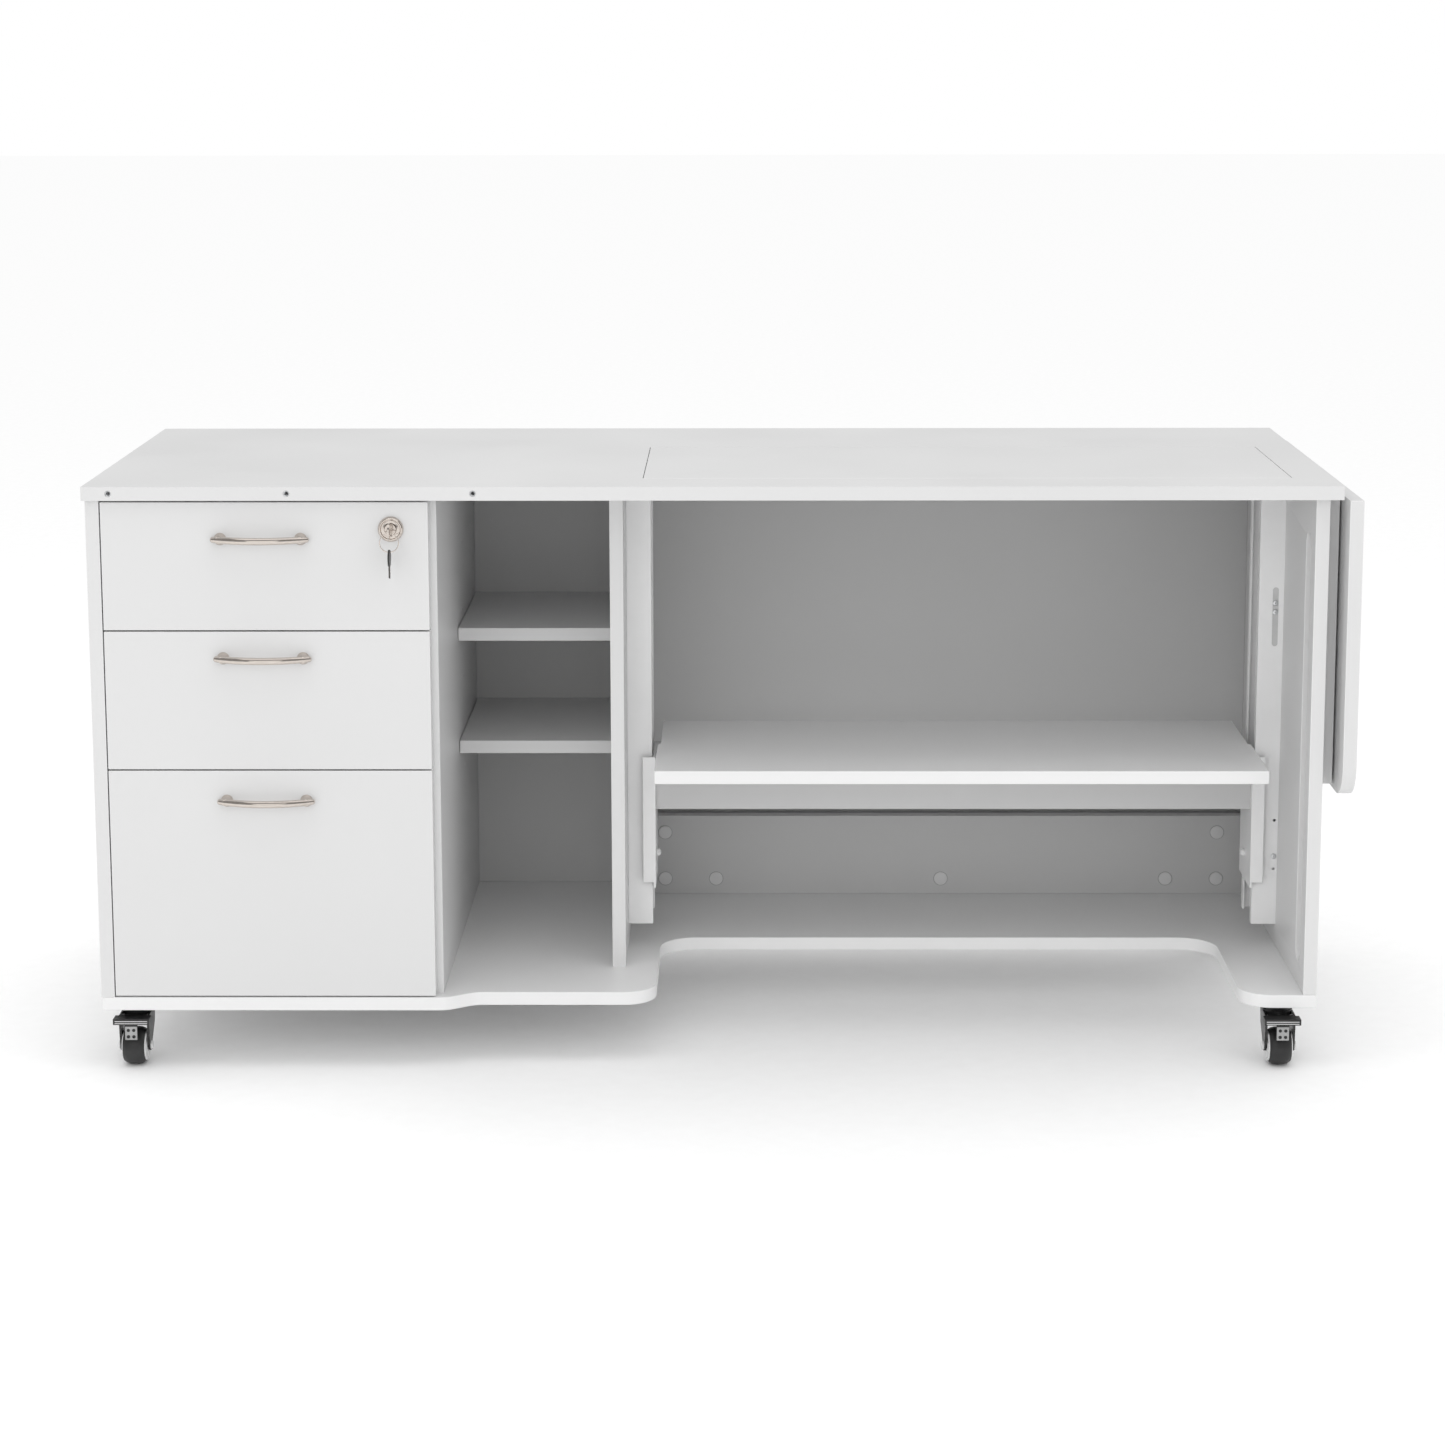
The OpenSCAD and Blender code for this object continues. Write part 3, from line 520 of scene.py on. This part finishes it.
def screw_head(radius, height):
    """A domed screw head with a cross recess, its seat at z = 0."""
    dome = [(radius * cos(pi / 2 * i / 6), height * (0.35 + 0.65 * sin(pi / 2 * i / 6))) for i in range(6)]
    bm = turned([(0, 0), (radius, 0)] + dome + [(radius * 0.34, height)], 32)
    rim = [v for v in bm.verts if abs(v.co.z - height) < 1e-9]
    rim.sort(key=lambda v: v.co.xy.angle_signed(Vector((1, 0))))
    depth = height * 0.55
    floor_ring = []
    for vert in rim:
        reach = max(abs(vert.co.x), abs(vert.co.y))
        pull = 0.92 if reach > radius * 0.3 else 0.42
        floor_ring.append(bm.verts.new((vert.co.x * pull, vert.co.y * pull, height - depth)))
    for i in range(len(rim)):
        j = (i + 1) % len(rim)
        bm.faces.new((rim[i], rim[j], floor_ring[j], floor_ring[i]))
    bm.faces.new(floor_ring)
    return bm


# ---------------------------------------------------------------- boards

BOARD_EDGE = 0.9 * MM
THIN_EDGE = 0.6 * MM
LID_GAP = 0.8 * MM


def parts_of(node):
    """Boxes of the separate solids of a node, as (low, high) pairs."""
    bm = bmesh.new()
    bm.from_mesh(frame["nodes"][node].data)
    bmesh.ops.remove_doubles(bm, verts=bm.verts, dist=WELD)
    seen, boxes = set(), []
    for start in bm.verts:
        if start in seen:
            continue
        group, queue = [], [start]
        seen.add(start)
        while queue:
            vert = queue.pop()
            group.append(vert.co.copy())
            for edge in vert.link_edges:
                other = edge.other_vert(vert)
                if other not in seen:
                    seen.add(other)
                    queue.append(other)
        boxes.append((
            Vector([min(p[k] for p in group) for k in range(3)]),
            Vector([max(p[k] for p in group) for k in range(3)]),
        ))
    bm.free()
    return sorted(boxes, key=lambda b: tuple(round(v, 4) for v in b[0]))


def drilled(board):
    """The worktop's mesh with the mouths of its edge inserts and the lock's recess cut out."""
    forms = []
    for low, high in parts_of("edge_inserts"):
        radius, length = (high.x - low.x) / 2, high.y - low.y
        mouth = [(0, 0), (radius, 0), (radius, length), (radius + 0.5 * MM, length + 0.5 * MM)]
        mouth += [(radius + 0.5 * MM, length + 3 * MM), (0, length + 3 * MM)]
        middle = (low + high) / 2
        forms.append(moved(turned(mouth, 40), (middle.x, high.y, middle.z), "-Y"))
    for space in frame["record"]["physics"]["openings"]:
        if space["name"] == "lock_strike":
            low, high = (Vector(corner) for corner in space["box_m"])
            grow = Vector((1, 1, 0)) * 0.8 * MM
            forms.append(block(low - grow - Vector((0, 0, 2 * MM)), high + grow + Vector((0, 0, 0.5 * MM))))
    body = bpy.data.objects.new("uncut", board)
    tool = bpy.data.objects.new("drill", mesh_from(joined(forms), "drill"))
    bpy.context.scene.collection.objects.link(body)
    bpy.context.scene.collection.objects.link(tool)
    cut = body.modifiers.new("cut", "BOOLEAN")
    cut.operation = "DIFFERENCE"
    cut.object = tool
    ready = body.evaluated_get(bpy.context.evaluated_depsgraph_get())
    result = bpy.data.meshes.new_from_object(ready)
    bpy.data.objects.remove(body)
    bpy.data.objects.remove(tool)
    return result


def make_worktop():
    """One seamless board with a narrow gap all round the lift's lid."""
    low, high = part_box("worktop")
    lid_low, lid_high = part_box("lift_lid")
    left, right = lid_low.x - LID_GAP, lid_high.x + LID_GAP
    front, rear = lid_low.y - LID_GAP, lid_high.y + LID_GAP
    hole = [(left, front), (right, front), (right, rear), (left, rear)]
    rim = [(low.x, low.y), (high.x, low.y), (high.x, high.y), (low.x, high.y)]
    bm = bmesh.new()
    rings = {}
    for z in (low.z, high.z):
        rings[z] = [[bm.verts.new((x, y, z)) for x, y in loop] for loop in (rim, hole)]
        outer, inner = rings[z]
        for i in range(4):
            j = (i + 1) % 4
            bm.faces.new((outer[i], outer[j], inner[j], inner[i]))
    for k in (0, 1):
        for i in range(4):
            j = (i + 1) % 4
            bm.faces.new((rings[low.z][k][i], rings[low.z][k][j], rings[high.z][k][j], rings[high.z][k][i]))
    mesh = drilled(mesh_from(bm, "worktop"))
    finish_piece("worktop_board", mesh, "worktop", ["laminate", "edge_band"], BOARD_EDGE, 1, ("worktop",))


def make_boards():
    """Laminated boards, softened along their banded edges."""
    # The base board and lift platform take the white laminate painted brighter, as painted light
    for node in ("base_board", "lift_platform"):
        softened(node, ["laminate_painted_light", "edge_band"], BOARD_EDGE, 1)
    white = [
        "lift_lid", "left_side_panel", "pedestal_divider", "cubby_divider", "right_side_panel",
        "upper_shelf", "lower_shelf", "side_leaf", "leaf_support",
    ]
    for node in white + [f"drawer_{n}_front" for n in (1, 2, 3)]:
        softened(node, ["laminate", "edge_band"], BOARD_EDGE, 1)
    # The back panels, lower back rail and crossbar are white laminate painted darker as shade
    for node in ("left_back_panel", "kneehole_back_panel", "lower_back_rail", "lift_crossbar"):
        softened(node, ["laminate_painted_shade_back"], THIN_EDGE)
    for n in (1, 2, 3):
        softened(f"drawer_{n}_box", ["lining"], THIN_EDGE)


def make_cover_caps():
    """Slightly domed push-in caps over the connecting fittings, each on a thin dark disc painted as the
    shadow round its edge.
    """
    forms, shadow_rings = [], []
    for low, high in parts_of("cover_caps"):
        radius, thick = (high.x - low.x) / 2, high.y - low.y
        profile = [(0, 0), (radius * 0.93, 0), (radius * 0.93, thick * 0.45), (radius * 0.88, thick * 0.85)]
        profile += [(radius * 0.76, thick * 0.96), (0, thick)]
        middle = (low + high) / 2
        forms.append(moved(turned(profile), (middle.x, high.y, middle.z), "-Y"))
        # A thin disc wider than the cap, painted dark as the shadow round its edge
        seat = turned([(0, 0), (radius, 0), (radius, 0.25 * MM), (0, 0.25 * MM)])
        shadow_rings.append(moved(seat, (middle.x, high.y, middle.z), "-Y"))
    mesh = mesh_from(joined(forms), "cover_caps")
    finish_piece("cover_cap_set", mesh, "cover_caps", ["cap"], replaces=("cover_caps",))
    mesh = mesh_from(joined(shadow_rings), "cover_cap_shadow_rings")
    finish_piece("cover_cap_shadow_rings", mesh, "cover_caps", ["seam_shade"])


def make_edge_inserts():
    """Threaded inserts: a flanged mouth and the thread's ridges down the bore."""
    forms = []
    for low, high in parts_of("edge_inserts"):
        radius, bore, length = (high.x - low.x) / 2, 2.5 * MM, high.y - low.y
        profile = [(bore * 0.98, 0), (radius, 0), (radius, length - 0.3 * MM), (radius - 0.3 * MM, length)]
        profile += [(bore + 0.9 * MM, length), (bore, length - 0.9 * MM)]
        turns = 12
        for i in range(turns):
            z = (length - 1.2 * MM) * (1 - i / turns)
            profile += [(bore, z), (bore * 0.86, z - 0.45 * MM)]
        middle = (low + high) / 2
        forms.append(moved(turned(profile + [(bore * 0.98, 0)], 32), (middle.x, high.y, middle.z), "-Y"))
    mesh = mesh_from(joined(forms), "edge_inserts")
    finish_piece("edge_insert_set", mesh, "edge_inserts", ["zinc"], replaces=("edge_inserts",))


# ---------------------------------------------------------------- lift

LIFT_MIDDLE_X = 0.3
SLOT_LOW_Z, SLOT_HIGH_Z = 0.5, 0.62


def make_lift():
    """Formed steel rails and carriages, nylon glides and button-head bolts."""
    softened("lift_rail_left", ["white_steel"], 0.8 * MM)
    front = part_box("lift_rail_right")[0].y

    def in_slot(face):
        middle = face.calc_center_median()
        sunk = face.normal.y < 0.5 and 0.2 * MM < middle.y - front < 1.2 * MM
        return sunk and SLOT_LOW_Z < middle.z < SLOT_HIGH_Z

    # The groove's floor faces take the darker finish, painted shade in the recess
    softened("lift_rail_right", ["white_steel", "slot_shade"], 0.3 * MM, mark=in_slot)
    softened("lift_carriages", ["white_steel"], THIN_EDGE)
    softened("glide_blocks", ["nylon"], 1.0 * MM)
    forms = []
    for low, high in parts_of("carriage_bolts"):
        radius, height = (high.z - low.z) / 2, high.x - low.x
        middle = (low + high) / 2
        points_right = middle.x < LIFT_MIDDLE_X
        seat = low.x if points_right else high.x
        aim = "X" if points_right else "-X"
        forms.append(moved(screw_head(radius, height), (seat, middle.y, middle.z), aim))
    mesh = mesh_from(joined(forms), "carriage_bolts")
    finish_piece("carriage_bolt_heads", mesh, "carriage_bolts", ["nylon"], replaces=("carriage_bolts",))
    forms = []
    for low, high in parts_of("rail_screws"):
        middle = (low + high) / 2
        head = screw_head((high.x - low.x) / 2, high.y - low.y)
        forms.append(moved(head, (middle.x, high.y, middle.z), "-Y"))
    mesh = mesh_from(joined(forms), "rail_screws")
    finish_piece("rail_screw_heads", mesh, "rail_screws", ["zinc"], replaces=("rail_screws",))


# ---------------------------------------------------------------- drawers, handles and lock

HANDLE_BAR = 4.75 * MM


def make_handle(n):
    """A bow of round bar that thins towards its rounded ends, on two flared feet."""
    node = f"drawer_{n}_handle"
    low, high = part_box(node)
    middle = (low + high) / 2
    radius = HANDLE_BAR
    face_y = high.y
    front_y = low.y + radius
    half, sag = 52 * MM, 11 * MM
    bow = (half * half + sag * sag) / (2 * sag)
    reach = asin(half / bow) + 9 * MM / bow
    steps = 40
    points, radii = [], []
    for i in range(steps + 1):
        angle = -reach + 2 * reach * i / steps
        point = Vector((middle.x + bow * sin(angle), front_y + bow * (1 - cos(angle)), middle.z))
        points.append(point)
        thin = abs(2 * i / steps - 1) ** 4
        radii.append(radius * (1 - 0.16 * thin))
    end = radii[0]
    for side, tip in ((0, points[0]), (1, points[-1])):
        near = points[1] if side == 0 else points[-2]
        along = (tip - near).normalized()
        for k in (1, 2, 3, 4, 5):
            angle = pi / 2 * k / 5.2
            extra, size = tip + along * end * sin(angle), end * cos(angle)
            if side == 0:
                points.insert(0, extra)
                radii.insert(0, size)
            else:
                points.append(extra)
                radii.append(size)
    forms = [swept(points, radii, 24)]
    foot_len = face_y - front_y - sag
    profile = [(0, 0), (8.2 * MM, 0), (8.0 * MM, 0.6 * MM), (6.4 * MM, 2.2 * MM), (5.2 * MM, 4.6 * MM)]
    profile += [(4.6 * MM, foot_len * 0.75), (4.4 * MM, foot_len + 2.4 * MM), (0, foot_len + 2.4 * MM)]
    for side in (-1, 1):
        forms.append(moved(turned(profile, 32), (middle.x + side * half, face_y, middle.z), "-Y"))
    mesh = mesh_from(joined(forms), node)
    finish_piece(f"drawer_{n}_bow_handle", mesh, node, ["nickel"], replaces=(node,))


def make_drawer_fittings():
    """Handles and the telescopic runners of each drawer."""
    for n in (1, 2, 3):
        make_handle(n)
        softened(f"drawer_{n}_runners", ["zinc"], 0.5 * MM)
    softened("cabinet_runners", ["zinc"], 0.5 * MM)


def make_lock():
    """Stepped nickel rim, a plug with a key way, and the cam behind the front."""
    low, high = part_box("lock_housing")
    middle = (low + high) / 2
    radius = (high.x - low.x) / 2
    rim = 5 * MM
    bore = 7.55 * MM
    seat_y = low.y + rim
    profile = [(bore, 0), (radius, 0), (radius, rim * 0.45), (radius - 0.5 * MM, rim * 0.72)]
    profile += [(radius - 2.2 * MM, rim), (radius - 3.4 * MM, rim), (radius - 4.2 * MM, rim * 0.7)]
    profile += [(bore + 1.6 * MM, rim * 0.7), (bore + 0.5 * MM, rim * 0.82), (bore, rim * 0.7), (bore, 0)]
    forms = [moved(turned(profile, 72), (middle.x, seat_y, middle.z), "-Y")]
    barrel = [(bore, 0), (10 * MM, 0), (10 * MM, high.y - seat_y), (bore, high.y - seat_y), (bore, 0)]
    forms.append(moved(turned(barrel, 48), (middle.x, seat_y, middle.z), "Y"))
    mesh = mesh_from(joined(forms), "lock_housing")
    finish_piece("lock_rim", mesh, "lock_housing", ["nickel"], replaces=("lock_housing",))
    softened("lock_plug", ["nickel"], 0.35 * MM)
    softened("lock_cam", ["zinc"], 0.4 * MM)
    softened("key", ["nickel"], 0.35 * MM)


def make_key_ring():
    """A split ring: two turns of flattened wire lying side by side."""
    low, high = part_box("key_ring")
    middle = (low + high) / 2
    wire = (high.y - low.y) / 4
    radius = (high.x - low.x) / 2 - wire
    per_turn, turns = 48, 2
    points, radii = [], []
    for i in range(per_turn * turns - 3):
        angle = tau * i / per_turn + radians(40)
        slide = (i / (per_turn * turns) - 0.5) * 2 * wire
        points.append(middle + Vector((radius * cos(angle), slide, radius * sin(angle))))
        radii.append(wire * 0.98)
    bm = bmesh.new()
    rings = []
    sides = 10
    for i, point in enumerate(points):
        outward = Vector((point.x - middle.x, 0, point.z - middle.z)).normalized() * 1.6
        across = Vector((0, 1, 0))
        spokes = [outward * cos(tau * k / sides) + across * sin(tau * k / sides) for k in range(sides)]
        rings.append([bm.verts.new(point + radii[i] * spoke) for spoke in spokes])
    for a, b in zip(rings, rings[1:]):
        for k in range(sides):
            bm.faces.new((a[k], a[(k + 1) % sides], b[(k + 1) % sides], b[k]))
    bm.faces.new(rings[0])
    bm.faces.new(list(reversed(rings[-1])))
    mesh = mesh_from(bm, "key_ring")
    finish_piece("split_ring", mesh, "key_ring", ["nickel"], replaces=("key_ring",))


def flat_form(outline, x_low, x_high):
    """A plate from a (y, z) outline, between two x values."""
    bm = bmesh.new()
    loops = [[bm.verts.new((x, y, z)) for y, z in outline] for x in (x_low, x_high)]
    bm.faces.new(loops[0])
    bm.faces.new(list(reversed(loops[1])))
    count = len(outline)
    for i in range(count):
        j = (i + 1) % count
        bm.faces.new((loops[0][i], loops[0][j], loops[1][j], loops[1][i]))
    return bm


def make_spare_key():
    """A black moulded head on a cut steel blade, hung edge-on from the ring, the blade painted dark as
    shade.
    """
    low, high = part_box("spare_key")
    middle = (low + high) / 2
    half = (high.y - low.y) / 2
    head_z = high.z - half
    hole_r, hole_z = 1.5 * MM, high.z - 3.5 * MM
    steps = 40

    def loop_about(z, radius):
        turns = [tau * i / steps for i in range(steps)]
        return [(middle.y + radius * sin(turn), z + radius * cos(turn)) for turn in turns]

    outer, inner = loop_about(head_z, half), loop_about(hole_z, hole_r)
    bm = bmesh.new()
    sides = []
    for x in (low.x, high.x):
        sides.append([[bm.verts.new((x, y, z)) for y, z in loop] for loop in (outer, inner)])
        a, b = sides[-1]
        for i in range(steps):
            j = (i + 1) % steps
            bm.faces.new((a[i], a[j], b[j], b[i]))
    for k in (0, 1):
        for i in range(steps):
            j = (i + 1) % steps
            bm.faces.new((sides[0][k][i], sides[0][k][j], sides[1][k][j], sides[1][k][i]))
    mesh = mesh_from(bm, "spare_key_head")
    finish_piece("spare_key_head", mesh, "spare_key", ["key_black"], 0.4 * MM, replaces=("spare_key",))
    top, tip = head_z - half * 0.92, low.z
    left, right = middle.y - 3.4 * MM, middle.y + 3.4 * MM
    cuts = [0.4, 1.3, 0.2, 1.7, 0.7, 1.5, 0.3]
    outline = [(left, top), (left, tip + 1.6 * MM), (middle.y, tip)]
    for i, cut in enumerate(cuts):
        z = tip + (2.2 + 1.9 * i) * MM
        outline += [(right - cut * MM, z), (right - cut * MM, z + 0.9 * MM)]
    outline += [(right, tip + 16.5 * MM), (right, top)]
    mesh = mesh_from(flat_form(outline, middle.x - 0.9 * MM, middle.x + 0.9 * MM), "spare_key_blade")
    # The blade takes nickel painted dark, as the shade it hangs in
    finish_piece("spare_key_blade", mesh, "spare_key", ["nickel_painted_shade"], 0.15 * MM)


# ---------------------------------------------------------------- hinges

def make_hinges():
    """Leaf hinges with their screws, the support board's hinges, and the shelf pins."""
    for node, axis in (("leaf_hinge_plates", "-Z"), ("leaf_hinge_flaps", "-X")):
        softened(node, ["zinc"], 0.3 * MM)
        forms = []
        for low, high in parts_of(node):
            middle = (low + high) / 2
            for shift in (-0.3, 0, 0.3):
                y = middle.y + shift * (high.y - low.y)
                seat = (TOP[1].x - 7 * MM, y, TOP[0].z - 1.6 * MM)
                if axis == "-X":
                    seat = (high.x - 1.6 * MM, y, low.z + 11 * MM)
                forms.append(moved(screw_head(2.2 * MM, 0.5 * MM), seat, axis))
        mesh = mesh_from(joined(forms), f"{node}_screws")
        finish_piece(f"{node}_screws", mesh, node, ["zinc"])
    softened("support_hinges", ["zinc"], 0.3 * MM)
    softened("shelf_pins", ["zinc"], 0.5 * MM)


# ---------------------------------------------------------------- casters

def make_wheel(n):
    """A tread with a rounded crown on a core, and a pale rim cover on each side."""
    node = f"caster_{n}_wheel"
    low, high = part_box(node)
    middle = (low + high) / 2
    r, half = (high.z - low.z) / 2, (high.x - low.x) / 2
    hub = 4.05 * MM
    crown = []
    for i in range(13):
        t = -1 + 2 * i / 12
        drop = r * 0.16 * abs(t) ** 3.2
        crown.append((r - drop, t * (half - 1.6 * MM)))
    tread = [(r * 0.74, -half + 2.2 * MM)] + crown + [(r * 0.74, half - 2.2 * MM)]
    tread += [(r * 0.72, half - 3.5 * MM), (r * 0.72, -half + 3.5 * MM), (r * 0.74, -half + 2.2 * MM)]
    mesh = mesh_from(moved(turned(tread, 96), middle, "X"), f"{node}_tread")
    finish_piece(f"caster_{n}_tread", mesh, node, ["tread"], replaces=(node,))
    cover = [(hub, 0), (r * 0.72, 0), (r * 0.80, 1.0 * MM), (r * 0.80, 2.6 * MM), (r * 0.76, 3.4 * MM)]
    cover += [(r * 0.68, 3.5 * MM), (r * 0.60, 2.6 * MM), (r * 0.36, 2.6 * MM), (r * 0.32, 3.5 * MM)]
    cover += [(hub + 0.6 * MM, 3.5 * MM), (hub, 3.0 * MM), (hub, 0)]
    forms = []
    for side, axis in ((-1, "-X"), (1, "X")):
        seat = middle + Vector((side * (half - 3.5 * MM), 0, 0))
        forms.append(moved(turned(cover, 64), seat, axis))
    core_r, core_half = r * 0.73, half - 3 * MM
    core = [(hub, -core_half), (core_r, -core_half), (core_r, core_half), (hub, core_half)]
    forms.append(moved(turned(core + core[:1], 64), middle, "X"))
    mesh = mesh_from(joined(forms), f"{node}_core")
    finish_piece(f"caster_{n}_rim_covers", mesh, node, ["rim_cover"])


def make_fork(n):
    """The pressed fork and a hexagon nut on each end of the axle."""
    node = f"caster_{n}_fork"
    softened(node, ["black_steel"], 0.5 * MM)
    wheel_low, wheel_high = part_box(f"caster_{n}_wheel")
    axle = (wheel_low + wheel_high) / 2
    low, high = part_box(node)
    forms = []
    for seat, axis in ((low.x, "-X"), (high.x, "X")):
        inward = 2.2 * MM if axis == "-X" else -2.2 * MM
        nut = turned([(0, 0), (6.2 * MM, 0), (6.2 * MM, 2.4 * MM), (5.2 * MM, 3.0 * MM), (0, 3.0 * MM)], 6)
        forms.append(moved(nut, (seat + inward, axle.y, axle.z), axis))
    mesh = mesh_from(joined(forms), f"{node}_nuts")
    finish_piece(f"caster_{n}_axle_nuts", mesh, node, ["rim_cover"], 0.25 * MM)


def make_pedal(n):
    """A hood with two bright trim lines, and a steel shoe with four studs."""
    node = f"caster_{n}_pedal"
    softened(node, ["black_plastic"], 0.9 * MM)
    low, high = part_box(node)
    pivot = centre(f"caster_{n}_wheel")
    front = -1 if low.y < pivot.y - 25 * MM and n <= 2 else 1
    face = low.y if front < 0 else high.y
    hood_low = high.z - 8 * MM
    forms = []
    for height in (1.6, 4.4):
        z = hood_low + height * MM
        near, far = face + front * 0.45 * MM, face - front * 0.5 * MM
        forms.append(block(
            (low.x + 2.5 * MM, min(near, far), z), (high.x - 2.5 * MM, max(near, far), z + 0.9 * MM),
        ))
    mesh = mesh_from(joined(forms), f"{node}_trim")
    finish_piece(f"caster_{n}_hood_trim", mesh, node, ["rim_cover"], 0.2 * MM)
    middle = (low + high) / 2
    near, far = face + front * 0.7 * MM, face - front * 0.4 * MM
    plate = block(
        (middle.x - 8 * MM, min(near, far), low.z + 0.8 * MM),
        (middle.x + 8 * MM, max(near, far), low.z + 19 * MM),
    )
    mesh = mesh_from(plate, f"{node}_shoe")
    finish_piece(f"caster_{n}_shoe_plate", mesh, node, ["shoe_steel"], 0.5 * MM)
    studs = []
    for x in (-3.6, 3.6):
        for z, profile in (
            (5.2, [(0, 0.2), (1.0, 0.2), (1.3, 0.9), (2.0, 0.9), (2.3, 0.2), (2.3, 0)]),
            (14.0, [(0, 0.5), (2.0, 0.5), (2.2, 0.3), (2.2, 0)]),
        ):
            stud = turned([(r * MM, h * MM) for r, h in profile], 24)
            seat = (middle.x + x * MM, near - front * 0.05 * MM, low.z + z * MM)
            studs.append(moved(stud, seat, "-Y" if front < 0 else "Y"))
    mesh = mesh_from(joined(studs), f"{node}_studs")
    finish_piece(f"caster_{n}_shoe_studs", mesh, node, ["black_plastic"])


def make_casters():
    """Four swivel casters under the base."""
    softened("caster_plates", ["black_steel"], 0.4 * MM)
    for n in (1, 2, 3, 4):
        make_fork(n)
        make_wheel(n)
        make_pedal(n)


# ---------------------------------------------------------------- the table

add_camera()
add_studio()
make_worktop()
make_boards()
make_cover_caps()
make_edge_inserts()
make_lift()
make_drawer_fittings()
make_lock()
make_key_ring()
make_spare_key()
make_hinges()
make_casters()
